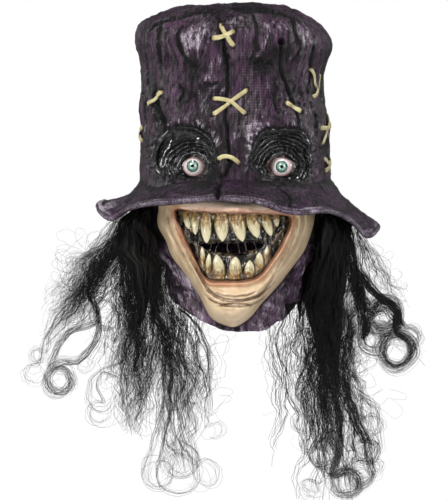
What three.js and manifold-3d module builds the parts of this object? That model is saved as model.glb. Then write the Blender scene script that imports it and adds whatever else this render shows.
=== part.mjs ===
// Voodoo priest mask: an over-the-head carnival mask with a patched top hat, a fanged grin and curly hair.
// Millimetres, +Z up. The face looks along -Y, and +X is on the right of someone who looks at the face.
// The origin is where the top of the wearer's head sits, inside the hat. Turns are degrees from the front,
// positive towards +X. The skins are painted latex, so each is a wall on an oval that changes with height.

import * as THREE from 'three';
import { mergeVertices } from 'three/addons/utils/BufferGeometryUtils.js';
import Module from 'manifold-3d';

const wasm = await Module();
wasm.setup();

// Driving dimensions of the hat's crown
const crownWidth = 221;
const crownDepth = 242;
const crownTop = 150;
const crownFoot = -66;
const wall = 2.5;
const clearance = 0.3;
const edgeClearance = 0.4;

// Driving dimensions of the brim
const brimReach = 45;
const brimFall = 30;
const brimThick = 3.5;
const brimJoint = -50;
const brimClearance = 0.45;

// Driving dimensions of the eyes and their sockets
const eyeDiameter = 27;
const eyeHeight = -34.5;
const eyeShare = 0.448;
const eyeSpacing = eyeShare * crownWidth;
const eyesMiddle = 2.2;
const eyeSink = 17.5;
const lidWidth = 24;
const lidHeight = 20;
const socketWidth = 72;
const socketDepth = 11;

// Driving dimensions of the face, the mouth and the wrap round the neck
const wrapFoot = -222;
const hemRise = 34;
const hemLowTurn = 8;
const wrapFold = 2.4;
const faceHeight = 149;
const mouthMiddle = -3;
const mouthTop = -82;
const mouthWidth = 127;
const mouthHeight = 78;
const muzzleReach = 31;
const muzzleWidth = 218;
const lipWidth = 9;
const lipTuck = 3;
const chinReach = 11;
const chinWidth = 22;
const chinDrop = 39;
const noseReach = 12;
const noseWidth = 15;
const noseDrop = 4;

// Driving dimensions of the teeth, the laces and the hair
const fangLength = 32;
const fangWidth = 14.5;
const fangThick = 0.5;
const toothThick = 4;
const toothTip = 0.5;
const laceWidth = 5;
const laceThick = 1.8;
const laceGap = 0.5;
const laceArch = 1.1;
const hairLength = 338;
const hairTop = -78;
const weftHeight = 14;
const weftThick = 5;
const lockWidth = 42;
const lockGap = 1.6;

// Mesh fineness
const columns = 38;
const wrapColumns = 30;
const socketColumns = 16;
const faceColumns = 42;
const eyeSides = 12;
const eyeBands = 8;
const toothSides = 6;
const laceSteps = 4;
const lockSides = 5;
const lockSteps = 7;
const weftSteps = 10;
const toothStations = [0.05, 0.4, 0.68, 0.88, 1];

// Crown: a row for each section, as shares of its height and of its half width and half depth.
const crownSections = [
  { up: 0, left: 1.0, right: 1.0, front: 1.0, back: 1.0 },
  { up: 0.13, left: 0.986, right: 0.986, front: 0.985, back: 0.99 },
  { up: 0.278, left: 0.986, right: 0.986, front: 0.975, back: 0.985 },
  { up: 0.384, left: 0.986, right: 0.986, front: 0.97, back: 0.98 },
  { up: 0.449, left: 1.0, right: 0.965, front: 0.965, back: 0.975 },
  { up: 0.514, left: 0.986, right: 0.94, front: 0.96, back: 0.97 },
  { up: 0.606, left: 0.977, right: 0.925, front: 0.955, back: 0.965 },
  { up: 0.671, left: 0.986, right: 0.94, front: 0.955, back: 0.97 },
  { up: 0.736, left: 1.01, right: 0.995, front: 0.965, back: 0.98 },
  { up: 0.8, left: 1.04, right: 1.01, front: 0.97, back: 0.985 },
  { up: 0.86, left: 1.035, right: 0.95, front: 0.95, back: 0.97 },
  { up: 0.905, left: 0.97, right: 0.86, front: 0.89, back: 0.93 },
  { up: 0.94, left: 0.84, right: 0.74, front: 0.79, back: 0.84 },
  { up: 0.97, left: 0.7, right: 0.61, front: 0.65, back: 0.7 },
  { up: 0.99, left: 0.46, right: 0.42, front: 0.45, back: 0.48 },
];

// Dents (deep above 0) and bulges (below 0) of the crown: place, half sizes, and depth as a share of its width.
const crownDents = [
  { turn: -5, up: 0.78, wide: 5, tall: 0.16, deep: -0.016 },
  { turn: -4, up: 0.42, wide: 5, tall: 0.15, deep: -0.014 },
  { turn: -22, up: 0.38, wide: 15, tall: 0.05, deep: -0.02 },
  { turn: 27, up: 0.385, wide: 15, tall: 0.05, deep: -0.02 },
  { turn: -52, up: 0.41, wide: 9, tall: 0.12, deep: 0.018 },
  { turn: 30, up: 0.74, wide: 8, tall: 0.12, deep: 0.016 },
  { turn: 38, up: 0.52, wide: 8, tall: 0.1, deep: 0.012 },
  { turn: 16, up: 0.69, wide: 9, tall: 0.045, deep: 0.014 },
  { turn: -35, up: 0.82, wide: 14, tall: 0.08, deep: -0.012 },
  { turn: -64, up: 0.62, wide: 12, tall: 0.1, deep: 0.014 },
  { turn: 74, up: 0.58, wide: 12, tall: 0.12, deep: 0.012 },
  { turn: 112, up: 0.44, wide: 20, tall: 0.14, deep: 0.028 },
  { turn: 152, up: 0.64, wide: 18, tall: 0.16, deep: 0.026 },
  { turn: -168, up: 0.34, wide: 18, tall: 0.12, deep: 0.022 },
  { turn: -124, up: 0.56, wide: 20, tall: 0.18, deep: 0.03 },
];

// Brim: reach as a share of brimReach, edge and seat as drops below brimJoint in shares of brimFall.
const brimSections = [
  { turn: -180, reach: 0.98, edge: 1.12, seat: 0.3, sweep: 0.2 },
  { turn: -120, reach: 1.0, edge: 0.95, seat: 0.4, sweep: 0.5 },
  { turn: -90, reach: 1.02, edge: 0.98, seat: 0.42, sweep: 0.8 },
  { turn: -76, reach: 1.02, edge: 1.2, seat: 0.4, sweep: 0.6 },
  { turn: -62, reach: 1.02, edge: 1.36, seat: 0.34, sweep: 0.3 },
  { turn: -48, reach: 1.0, edge: 0.92, seat: 0.22, sweep: 0.2 },
  { turn: -28, reach: 0.98, edge: 0.7, seat: 0.06, sweep: 0.1 },
  { turn: 0, reach: 1.0, edge: 0.57, seat: 0, sweep: 0 },
  { turn: 11, reach: 1.0, edge: 0.72, seat: 0, sweep: 0 },
  { turn: 20, reach: 1.0, edge: 1, seat: 0.03, sweep: 0.1 },
  { turn: 45, reach: 1.02, edge: 1.1, seat: 0.12, sweep: 0.1 },
  { turn: 56, reach: 1.02, edge: 1.45, seat: 0.2, sweep: 0.1 },
  { turn: 68, reach: 1.04, edge: 2, seat: 0.26, sweep: 0 },
  { turn: 90, reach: 1.18, edge: 1.78, seat: 0.3, sweep: 0 },
  { turn: 130, reach: 1.02, edge: 1.3, seat: 0.36, sweep: 0.2 },
];
const brimTopShares = [1, 0.72, 0.42, 0.18, 0];
const brimUnderShares = [0, 0.3, 0.66, 1];

// Sockets: reach of the black rim from the eye's middle, clockwise from the top, in shares of socketWidth.
const socketSpokes = [
  { left: 0.6, right: 0.575 },
  { left: 0.5, right: 0.62 },
  { left: 0.395, right: 0.51 },
  { left: 0.34, right: 0.45 },
  { left: 0.257, right: 0.47 },
  { left: 0.2, right: 0.245 },
  { left: 0.18, right: 0.2 },
  { left: 0.222, right: 0.225 },
  { left: 0.358, right: 0.31 },
  { left: 0.61, right: 0.46 },
  { left: 0.685, right: 0.51 },
  { left: 0.67, right: 0.607 },
];

// Folds of the lids from the eye outwards: place between lid and rim, and depth as a share of socketDepth.
const socketFolds = [
  { out: 0, deep: 0.78 },
  { out: 0.14, deep: 0.55 },
  { out: 0.3, deep: 1.0 },
  { out: 0.52, deep: 0.62 },
  { out: 0.72, deep: 0.55 },
  { out: 1, deep: 0 },
];

// Wrap: a row for each section below the crown, as shares of its fall and of the crown's half sizes.
const wrapSections = [
  { down: 0, side: 1.0, front: 1.0, back: 1.0, fold: 0 },
  { down: 0.12, side: 0.955, front: 0.965, back: 0.975, fold: 0.4 },
  { down: 0.28, side: 0.915, front: 0.93, back: 0.945, fold: -1 },
  { down: 0.42, side: 0.87, front: 0.89, back: 0.9, fold: 1 },
  { down: 0.56, side: 0.815, front: 0.83, back: 0.85, fold: -1 },
  { down: 0.7, side: 0.755, front: 0.76, back: 0.8, fold: 1 },
  { down: 0.85, side: 0.705, front: 0.7, back: 0.76, fold: -0.8 },
  { down: 1, side: 0.68, front: 0.68, back: 0.75, fold: 0.6 },
];

// Face: a row for each spoke from the lip to the edge, clockwise from the top. across and down place the lip
// in shares of the mouth, turn and fall place the edge on the wrap, fall in shares of faceHeight,
// and hold says how far out the flesh keeps its height before it drops to the wrap.
const faceSpokes = [
  { across: 0.04, down: 0.059, turn: 1, fall: 0, hold: 2 },
  { across: 0.17, down: 0.064, turn: 15, fall: 0, hold: 2 },
  { across: 0.32, down: 0.074, turn: 32, fall: 0, hold: 2 },
  { across: 0.45, down: 0.085, turn: 52, fall: 0.01, hold: 2 },
  { across: 0.498, down: 0.13, turn: 60, fall: 0.13, hold: 2 },
  { across: 0.484, down: 0.27, turn: 60.5, fall: 0.28, hold: 2 },
  { across: 0.442, down: 0.438, turn: 56, fall: 0.42, hold: 2 },
  { across: 0.385, down: 0.6, turn: 47, fall: 0.53, hold: 2.2 },
  { across: 0.319, down: 0.75, turn: 36.6, fall: 0.63, hold: 2.6 },
  { across: 0.27, down: 0.86, turn: 27.7, fall: 0.715, hold: 3.2 },
  { across: 0.21, down: 0.945, turn: 19, fall: 0.81, hold: 4 },
  { across: 0.12, down: 0.99, turn: 12, fall: 0.92, hold: 5 },
  { across: 0.02, down: 1.0, turn: 1, fall: 1.0, hold: 5 },
  { across: -0.09, down: 1.0, turn: -9, fall: 0.99, hold: 5 },
  { across: -0.19, down: 0.995, turn: -19, fall: 0.94, hold: 5 },
  { across: -0.26, down: 0.92, turn: -25, fall: 0.85, hold: 4 },
  { across: -0.3, down: 0.787, turn: -29.5, fall: 0.755, hold: 3.2 },
  { across: -0.335, down: 0.67, turn: -37, fall: 0.66, hold: 2.6 },
  { across: -0.374, down: 0.545, turn: -46, fall: 0.55, hold: 2.2 },
  { across: -0.42, down: 0.39, turn: -54, fall: 0.42, hold: 2 },
  { across: -0.462, down: 0.229, turn: -58, fall: 0.28, hold: 2 },
  { across: -0.49, down: 0.1, turn: -57, fall: 0.14, hold: 2 },
  { across: -0.485, down: 0.01, turn: -50, fall: 0.01, hold: 2 },
  { across: -0.34, down: 0.03, turn: -32, fall: 0, hold: 2 },
  { across: -0.15, down: 0.05, turn: -15, fall: 0, hold: 2 },
];

// Folds of the face round the mouth: the lip's rows lie at shares of lipWidth, the cheek's at shares of what
// is left to the edge. proud is how far a fold stands out and needs the room below which it fades, in shares
// of lipWidth.
const lipFolds = [
  { out: 0, proud: 0 },
  { out: 0.4, proud: 0.55 },
  { out: 1, proud: 0.1 },
];
const cheekFolds = [
  { out: 0.2, proud: 0.45, needs: 0.4 },
  { out: 0.36, proud: 0.1, needs: 0.4 },
  { out: 0.58, proud: 0.45, needs: 0.4 },
  { out: 0.82, proud: 0.2, needs: 0.4 },
  { out: 1, proud: 0, needs: 0 },
];

// Teeth, left to right: root and tip across in shares of mouthWidth, sizes in shares of the fang's.
const upperTeeth = [
  { root: -0.4, tip: -0.385, long: 0.58, wide: 0.6, start: 0.04 },
  { root: -0.33, tip: -0.327, long: 0.76, wide: 0.58, start: 0.045 },
  { root: -0.232, tip: -0.228, long: 1.02, wide: 0.84, start: 0.055 },
  { root: -0.098, tip: -0.09, long: 0.94, wide: 1.0, start: 0.06 },
  { root: 0.036, tip: 0.086, long: 0.94, wide: 1.0, start: 0.062 },
  { root: 0.165, tip: 0.216, long: 0.81, wide: 0.92, start: 0.066 },
  { root: 0.287, tip: 0.336, long: 0.74, wide: 0.74, start: 0.072 },
  { root: 0.378, tip: 0.386, long: 0.4, wide: 0.5, start: 0.08 },
];
const lowerTeeth = [
  { root: -0.262, tip: -0.268, long: 0.55, wide: 0.36, start: 0.75 },
  { root: -0.212, tip: -0.206, long: 0.63, wide: 0.46, start: 0.88 },
  { root: -0.112, tip: -0.14, long: 0.78, wide: 0.88, start: 0.955 },
  { root: 0.02, tip: 0.024, long: 0.73, wide: 0.93, start: 0.96 },
  { root: 0.145, tip: 0.15, long: 0.53, wide: 0.74, start: 0.935 },
  { root: 0.232, tip: 0.235, long: 0.58, wide: 0.62, start: 0.84 },
  { root: 0.292, tip: 0.304, long: 0.45, wide: 0.36, start: 0.7 },
];

// Sight slot in the mouth's lining, clockwise from the top, in shares of the mouth.
const slotSpokes = [
  { across: 0, down: 0.465 },
  { across: 0.17, down: 0.462 },
  { across: 0.26, down: 0.49 },
  { across: 0.17, down: 0.58 },
  { across: 0, down: 0.62 },
  { across: -0.17, down: 0.59 },
  { across: -0.28, down: 0.5 },
  { across: -0.17, down: 0.465 },
];

// Laces over the seams: each strap goes from one turn and height to another, heights as shares of the crown's.
const laces = {
  lace_top: [[-9, 0.89, -0.8, 0.766], [-13.2, 0.81, -0.2, 0.85]],
  lace_middle: [[-13.8, 0.5, 6.3, 0.42], [8, 0.548, -13.2, 0.414]],
  lace_left: [[-51.1, 0.539, -63.7, 0.466]],
  lace_left_edge: [[-76, 0.35, -86, 0.316], [-86, 0.316, -76, 0.275]],
  lace_nose_bridge: [[-10.8, 0.182, -4, 0.2], [-4, 0.2, 2.5, 0.16]],
  lace_right: [[33.5, 0.481, 44.4, 0.43]],
  lace_side_top: [[54.7, 0.659, 65.5, 0.553], [66, 0.575, 57, 0.507]],
  lace_side_edge: [[70.5, 0.63, 75, 0.529]],
  lace_side_middle: [[80.4, 0.423, 63.4, 0.255], [60.6, 0.345, 83.2, 0.37]],
  lace_side_low: [[67, 0.187, 80, 0.11], [81, 0.195, 69, 0.116]],
};

// Hair locks: turns at the root and at the tip, then shares of hairLength, lockWidth and hairLength.
const leftLocks = [
  { root: -66, tip: -60, flare: 0.03, long: 0.58, thick: 0.7, swing: 0.006 },
  { root: -77, tip: -71, flare: 0.13, long: 0.86, thick: 1.0, swing: 0.014 },
  { root: -88, tip: -82, flare: 0.24, long: 0.72, thick: 0.9, swing: 0.016 },
  { root: -98, tip: -86, flare: 0.48, long: 0.6, thick: 0.7, swing: 0.02 },
  { root: -109, tip: -98, flare: 0.15, long: 0.93, thick: 1.05, swing: 0.018 },
  { root: -121, tip: -114, flare: 0.09, long: 0.92, thick: 1.0, swing: 0.018 },
  { root: -133, tip: -134, flare: 0.05, long: 0.95, thick: 0.9, swing: 0.018 },
  { root: -145, tip: -152, flare: 0.02, long: 0.88, thick: 0.75, swing: 0.014 },
];
const rightLocks = [
  { root: 67, tip: 64, flare: 0.03, long: 0.6, thick: 0.7, swing: 0.006 },
  { root: 78, tip: 68, flare: 0.08, long: 0.99, thick: 1.05, swing: 0.014 },
  { root: 89, tip: 82, flare: 0.15, long: 1.0, thick: 1.05, swing: 0.016 },
  { root: 99, tip: 92, flare: 0.37, long: 0.5, thick: 0.75, swing: 0.016 },
  { root: 109, tip: 101, flare: 0.13, long: 0.98, thick: 1.05, swing: 0.018 },
  { root: 121, tip: 112, flare: 0.1, long: 0.96, thick: 1.0, swing: 0.018 },
  { root: 133, tip: 128, flare: 0.05, long: 0.97, thick: 0.9, swing: 0.018 },
  { root: 145, tip: 144, flare: 0.01, long: 0.86, thick: 0.75, swing: 0.014 },
];

// Shape of a lock: waves and how far each starts in its wave, its thickness at the weft, its taper,
// the power at which it swings out and the power that gathers its sections near the weft.
const lockShape = { waves: 2.2, phase: 0.0213, bound: 0.45, swell: 0.1, taper: 0.55, swing: 1.25, gather: 1.3 };

// Shape of a tooth: powers of its taper and of its lean.
const toothShape = { taper: 2.8, lean: 1.4 };

// Depth of the muzzle without its reach, as a share of the crown's, and the widest part of it that counts.
const muzzleShare = 0.46;
const muzzleLimit = 0.92;

// Degrees by which the crown's and the brim's columns crowd to the front, and reach of a cutter.
const frontCrowding = 20;
const cutterReach = 1.2 * crownDepth;

const crownHeight = crownTop - crownFoot;
const wrapTop = crownFoot - clearance;
const radians = THREE.MathUtils.degToRad;

// Value of a column between two rows of a table, by the table's first column, eased at the rows.
function between(rows, by, at, column, period) {
  let after = rows.findIndex((row) => row[by] > at);
  let before = after - 1;
  if (!period) {
    after = after < 0 ? rows.length - 1 : Math.max(after, 1);
    before = after - 1;
  }
  const low = rows.at(before);
  const high = after < 0 ? rows[0] : rows[after];
  const start = before === -1 && after === 0 ? low[by] - period : low[by];
  const stop = after < 0 ? high[by] + period : high[by];
  const share = (at - start) / (stop - start);
  const eased = period ? share * share * (3 - 2 * share) : THREE.MathUtils.clamp(share, 0, 1);
  return low[column] + (high[column] - low[column]) * eased;
}

// Value of a column round a closed table, share 0 to 1, on a curve through its rows.
function around(rows, share, column) {
  const place = share * rows.length;
  const index = Math.floor(place);
  const rest = place - index;
  const [a, b, c, d] = [-1, 0, 1, 2].map((step) => rows.at((index + step) % rows.length)[column]);
  const slope = (c - a) / 2;
  const nextSlope = (d - b) / 2;
  const square = rest * rest;
  const cube = square * rest;
  return b * (2 * cube - 3 * square + 1) + c * (3 * square - 2 * cube)
    + slope * (cube - 2 * square + rest) + nextSlope * (cube - square);
}

// Shortest way between two turns, in degrees.
function turnGap(a, b) {
  return THREE.MathUtils.euclideanModulo(a - b + 180, 360) - 180;
}

// Direction away from the head at a turn.
function outwards(turn) {
  return new THREE.Vector3(Math.sin(radians(turn)), -Math.cos(radians(turn)), 0);
}

// Point on an oval with its own half size to each side.
function ovalPoint(turn, left, right, front, back, z) {
  const side = Math.sin(radians(turn));
  const ahead = Math.cos(radians(turn));
  return new THREE.Vector3(side * (side < 0 ? left : right), -ahead * (ahead > 0 ? front : back), z);
}

// Point of the crown's outer skin at a turn and a share of its height, with its dents.
function crownPoint(turn, up) {
  const [left, right, front, back] = ['left', 'right', 'front', 'back'].map(
    (side) => between(crownSections, 'up', up, side),
  );
  const point = ovalPoint(
    turn,
    (left * crownWidth) / 2,
    (right * crownWidth) / 2,
    (front * crownDepth) / 2,
    (back * crownDepth) / 2,
    crownFoot + up * crownHeight,
  );
  let deep = 0;
  for (const dent of crownDents) {
    const aside = turnGap(turn, dent.turn) / dent.wide;
    const above = (up - dent.up) / dent.tall;
    deep += dent.deep * crownWidth * Math.exp(-aside * aside - above * above);
  }
  return point.addScaledVector(outwards(turn), -deep);
}

// Outer skin of the crown straight in front of a point x, z: its y.
function crownFront(x, z) {
  const up = (z - crownFoot) / crownHeight;
  const half = (between(crownSections, 'up', up, x < 0 ? 'left' : 'right') * crownWidth) / 2;
  const turn = THREE.MathUtils.radToDeg(Math.asin(THREE.MathUtils.clamp(x / half, -1, 1)));
  return crownPoint(turn, up).y;
}

// Height of the wrap's hem at a turn: it rises towards the shoulders.
function hemHeight(turn) {
  return wrapFoot + hemRise * Math.sin(radians(turn - hemLowTurn)) ** 2;
}

// Point of the wrap's outer skin at a turn and a share of the way down to its hem.
function wrapPoint(turn, down) {
  const foot = crownSections[0];
  const [side, front, back, fold] = ['side', 'front', 'back', 'fold'].map(
    (column) => between(wrapSections, 'down', down, column),
  );
  const ripple = fold * wrapFold * Math.sin(radians(2 * turn + 60));
  return ovalPoint(
    turn,
    (side * foot.left * crownWidth) / 2 + ripple,
    (side * foot.right * crownWidth) / 2 + ripple,
    (front * foot.front * crownDepth) / 2,
    (back * foot.back * crownDepth) / 2 + ripple,
    wrapTop + (hemHeight(turn) - wrapTop) * down,
  );
}

// Point of the wrap's outer skin at a turn and a height.
function wrapAt(turn, z) {
  const down = (z - wrapTop) / (hemHeight(turn) - wrapTop);
  return wrapPoint(turn, down).setZ(z);
}

// The muzzle is a taller oval in front of the wrap: y of the lips' plane at x.
function muzzleFront(x) {
  const depth = crownDepth * muzzleShare + muzzleReach;
  const share = Math.min(Math.abs(x) / (muzzleWidth / 2), muzzleLimit);
  return -depth * Math.sqrt(1 - share * share);
}

// Indexed geometry from a list of points and a list of triangles.
function meshGeometry(points, triangles) {
  const geometry = new THREE.BufferGeometry();
  const numbers = points.flatMap((point) => [point.x, point.y, point.z]);
  geometry.setAttribute('position', new THREE.Float32BufferAttribute(numbers, 3));
  geometry.setIndex(triangles.flat());
  geometry.computeVertexNormals();
  return geometry;
}

// Two triangles for each cell between rows of points that close round on themselves.
function ringCells(rowCount, columnCount, offset, flipped) {
  const triangles = [];
  for (let row = 0; row < rowCount - 1; row += 1) {
    for (let column = 0; column < columnCount; column += 1) {
      const next = (column + 1) % columnCount;
      const a = offset + row * columnCount + column;
      const b = offset + row * columnCount + next;
      const c = a + columnCount;
      const d = b + columnCount;
      triangles.push(flipped ? [a, c, b] : [a, b, c], flipped ? [b, c, d] : [b, d, c]);
    }
  }
  return triangles;
}

// Outward normal at a point of a grid of rows that close round on themselves.
function gridNormal(rows, row, column) {
  const line = rows[row];
  const count = line.length;
  const along = line[(column + 1) % count].clone().sub(line[(column + count - 1) % count]);
  const up = rows[Math.min(row + 1, rows.length - 1)][column].clone().sub(rows[Math.max(row - 1, 0)][column]);
  return along.cross(up).normalize();
}

// Wall of even thickness behind a grid of outer points. rim says how the wall's first and last row turn in:
// 'level' keeps their height and 'back' moves them straight along +Y. A peak closes the last row.
function shell(rows, thick, rim, peak) {
  const inner = rows.map((line, row) => line.map((point, column) => {
    const normal = gridNormal(rows, row, column);
    const rule = row === 0 ? rim.first : row === rows.length - 1 ? rim.last : 'free';
    if (rule === 'back') normal.set(0, -1, 0);
    if (rule === 'level') normal.setZ(0).normalize();
    return point.clone().addScaledVector(normal, -thick);
  }));
  const columnCount = rows[0].length;
  const outerCount = rows.length * columnCount;
  const points = [...rows.flat(), ...inner.flat()];
  const triangles = [
    ...ringCells(rows.length, columnCount, 0, false),
    ...ringCells(rows.length, columnCount, outerCount, true),
  ];
  const lastOuter = outerCount - columnCount;
  const lastInner = 2 * outerCount - columnCount;
  if (peak) points.push(peak, peak.clone().setZ(peak.z - thick));
  for (let column = 0; column < columnCount; column += 1) {
    const next = (column + 1) % columnCount;
    triangles.push([column, outerCount + column, next], [next, outerCount + column, outerCount + next]);
    if (peak) {
      triangles.push([lastOuter + column, lastOuter + next, 2 * outerCount]);
      triangles.push([lastInner + next, lastInner + column, 2 * outerCount + 1]);
    } else {
      triangles.push([lastOuter + column, lastOuter + next, lastInner + column]);
      triangles.push([lastOuter + next, lastInner + next, lastInner + column]);
    }
  }
  return meshGeometry(points, triangles);
}

// Solid of sections that each close round on themselves, with a flat lid at each end.
function loft(sections) {
  const count = sections[0].length;
  const points = sections.flat();
  const triangles = ringCells(sections.length, count, 0, false);
  const last = (sections.length - 1) * count;
  for (let corner = 1; corner < count - 1; corner += 1) {
    triangles.push([0, corner + 1, corner], [last, last + corner, last + corner + 1]);
  }
  return meshGeometry(points, triangles);
}

// Solid for joining and cutting, from a closed geometry.
function toSolid(geometry) {
  const bare = geometry.clone();
  bare.deleteAttribute('normal');
  bare.deleteAttribute('uv');
  const merged = mergeVertices(bare);
  return new wasm.Manifold(new wasm.Mesh({
    numProp: 3,
    vertProperties: new Float32Array(merged.attributes.position.array),
    triVerts: new Uint32Array(merged.index.array),
  }));
}

// Geometry of a joined or cut solid.
function toGeometry(solid) {
  const result = solid.getMesh();
  const geometry = new THREE.BufferGeometry();
  geometry.setAttribute('position', new THREE.BufferAttribute(result.vertProperties, 3));
  geometry.setIndex(new THREE.BufferAttribute(result.triVerts, 1));
  geometry.computeVertexNormals();
  return geometry;
}

// Cutter with an outline in X and Z that reaches from behind the head's middle out past the front.
function frontCutter(outline) {
  const shape = new THREE.Shape(outline.map((point) => new THREE.Vector2(point.x, point.z)));
  const geometry = new THREE.ExtrudeGeometry(shape, { depth: cutterReach, bevelEnabled: false });
  return toSolid(geometry.rotateX(Math.PI / 2));
}

// Turn of a column of the crown and brim, with the columns closer together at the front.
function columnTurn(column, count) {
  const share = column / count;
  return 360 * share - frontCrowding * Math.sin(2 * Math.PI * share);
}

function eyePlace(side) {
  const x = eyesMiddle + (side * eyeSpacing) / 2;
  return new THREE.Vector3(x, crownFront(x, eyeHeight) + eyeSink, eyeHeight);
}

// Points of one socket: spokes from the lid's edge to the black rim, a row for each fold.
function socketRows(side) {
  const centre = eyePlace(side);
  const column = side < 0 ? 'left' : 'right';
  return socketFolds.map((fold) => Array.from({ length: socketColumns }, (_, index) => {
    const clock = (2 * Math.PI * index) / socketColumns;
    const direction = new THREE.Vector2(Math.sin(clock), Math.cos(clock));
    const lid = 1 / Math.hypot((2 * direction.x) / lidWidth, (2 * direction.y) / lidHeight);
    const rim = around(socketSpokes, index / socketColumns, column) * socketWidth;
    const reach = lid + (rim - lid) * fold.out;
    const x = centre.x + direction.x * reach;
    const z = centre.z + direction.y * reach;
    return new THREE.Vector3(x, crownFront(x, z) + fold.deep * socketDepth, z);
  }));
}

function makeSocket(side) {
  const centre = eyePlace(side);
  const rows = socketRows(side);
  const folds = toSolid(shell(rows, wall, { first: 'back', last: 'back' }));
  const lids = folds.intersect(frontCutter(rows.at(-1)));
  const room = eyeball(eyeDiameter / 2 + clearance).translate(centre.x, centre.y, centre.z);
  return toGeometry(lids.subtract(toSolid(room)));
}

function eyeball(radius) {
  return new THREE.SphereGeometry(radius, eyeSides, eyeBands).rotateX(Math.PI / 2);
}

function makeCrown() {
  const rows = crownSections.map((section) => Array.from(
    { length: columns },
    (_, column) => crownPoint(columnTurn(column, columns), section.up),
  ));
  let crown = toSolid(shell(rows, wall, { first: 'level', last: 'free' }, new THREE.Vector3(0, 0, crownTop)));
  for (const side of [-1, 1]) {
    const centre = eyePlace(side);
    const outline = socketRows(side).at(-1).map((point) => {
      const out = new THREE.Vector3(point.x - centre.x, 0, point.z - centre.z).normalize();
      return point.clone().addScaledVector(out, edgeClearance);
    });
    crown = crown.subtract(frontCutter(outline));
  }
  return toGeometry(crown);
}

// Point of the brim at a turn and a share of its reach, lower by drop.
function brimPoint(turn, share, drop) {
  const at = turnGap(turn, 0);
  const [reach, edge, seat, sweep] = ['reach', 'edge', 'seat', 'sweep'].map(
    (column) => between(brimSections, 'turn', at, column, 360),
  );
  const joint = brimJoint - seat * brimFall;
  const start = crownPoint(turn, (joint - crownFoot) / crownHeight);
  const fall = share + sweep * share * (1 - share);
  const point = start.addScaledVector(outwards(turn), brimClearance + reach * brimReach * share);
  return point.setZ(joint + (brimJoint - edge * brimFall - joint) * fall - drop);
}

function makeBrim() {
  const profile = [
    ...brimTopShares.map((share) => ({ share, drop: 0 })),
    ...brimUnderShares.map((share) => ({ share, drop: brimThick })),
  ];
  const rows = profile.map(({ share, drop }) => Array.from(
    { length: columns },
    (_, column) => brimPoint(columnTurn(column, columns), share, drop),
  ));
  const triangles = ringCells(rows.length, columns, 0, false);
  const last = (rows.length - 1) * columns;
  for (let column = 0; column < columns; column += 1) {
    const next = (column + 1) % columns;
    triangles.push([last + column, last + next, column], [last + next, next, column]);
  }
  return meshGeometry(rows.flat(), triangles);
}

// Lip point of a spoke of the face, on the muzzle.
function lipPoint(share) {
  const x = mouthMiddle + around(faceSpokes, share, 'across') * mouthWidth;
  const z = mouthTop - around(faceSpokes, share, 'down') * mouthHeight;
  return new THREE.Vector3(x, muzzleFront(x), z);
}

// Edge point of a spoke of the face, on the wrap's skin.
function faceEdge(share) {
  const turn = around(faceSpokes, share, 'turn');
  const z = wrapTop - Math.max(0, around(faceSpokes, share, 'fall')) * faceHeight;
  return wrapAt(turn, z);
}

// How far the chin and the nose stand out at x, z.
function featureReach(x, z) {
  const chin = Math.hypot(x - mouthMiddle, z - (mouthTop - mouthHeight - chinDrop)) / chinWidth;
  const nose = Math.hypot((x - mouthMiddle) / noseWidth, (z - (mouthTop + noseDrop)) / (noseWidth / 2));
  return chinReach * Math.exp(-chin * chin) + noseReach * Math.exp(-nose * nose);
}

// Point of the face on a spoke, far from the lip, with a fold that stands proud.
function facePoint(share, far, proud) {
  const lip = lipPoint(share);
  const edge = faceEdge(share);
  const span = Math.hypot(edge.x - lip.x, edge.z - lip.z);
  const q = far / span;
  const x = lip.x + (edge.x - lip.x) * q;
  const z = lip.z + (edge.z - lip.z) * q;
  const drop = q ** around(faceSpokes, share, 'hold');
  const y = lip.y + (edge.y - lip.y) * drop - proud * lipWidth - featureReach(x, z) * (1 - drop);
  return new THREE.Vector3(x, y, z);
}

function faceRows() {
  const shares = Array.from({ length: faceColumns }, (_, column) => column / faceColumns);
  const spans = shares.map((share) => {
    const lip = lipPoint(share);
    const edge = faceEdge(share);
    return Math.hypot(edge.x - lip.x, edge.z - lip.z);
  });
  const lips = lipFolds.map((fold) => shares.map((share, column) => {
    const wide = Math.min(lipWidth, spans[column] / 2);
    const point = facePoint(share, fold.out * wide, fold.proud);
    return fold.out === 0 ? point.setY(point.y + lipTuck) : point;
  }));
  const cheeks = cheekFolds.map((fold) => shares.map((share, column) => {
    const wide = Math.min(lipWidth, spans[column] / 2);
    const fade = THREE.MathUtils.clamp((spans[column] - wide) / lipWidth - fold.needs, 0, 1);
    return facePoint(share, wide + fold.out * (spans[column] - wide), fold.proud * fade);
  }));
  return [...lips, ...cheeks];
}

function makeFace() {
  const rows = faceRows();
  const skin = toSolid(shell(rows, wall, { first: 'back', last: 'back' }));
  return toGeometry(skin.intersect(frontCutter(rows.at(-1))).subtract(frontCutter(rows[0])));
}

function makeWrap() {
  const rows = [...wrapSections].reverse().map((section) => Array.from(
    { length: wrapColumns },
    (_, column) => wrapPoint((360 * column) / wrapColumns, section.down),
  ));
  const middle = new THREE.Vector3(mouthMiddle, 0, mouthTop - mouthHeight / 2);
  const outline = faceRows().at(-1).map((point) => {
    const out = new THREE.Vector3(point.x - middle.x, 0, point.z - middle.z).normalize();
    const above = point.z > wrapTop - wall ? brimReach : 0;
    return point.clone().addScaledVector(out, edgeClearance).add(new THREE.Vector3(0, 0, above));
  });
  const wrap = toSolid(shell(rows, wall, { first: 'level', last: 'level' }));
  return toGeometry(wrap.subtract(frontCutter(outline)));
}

// The mouth's lining lies behind the lips' inner edge: its y at x.
function liningFront(x) {
  return muzzleFront(x) + lipTuck + wall + clearance;
}

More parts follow.
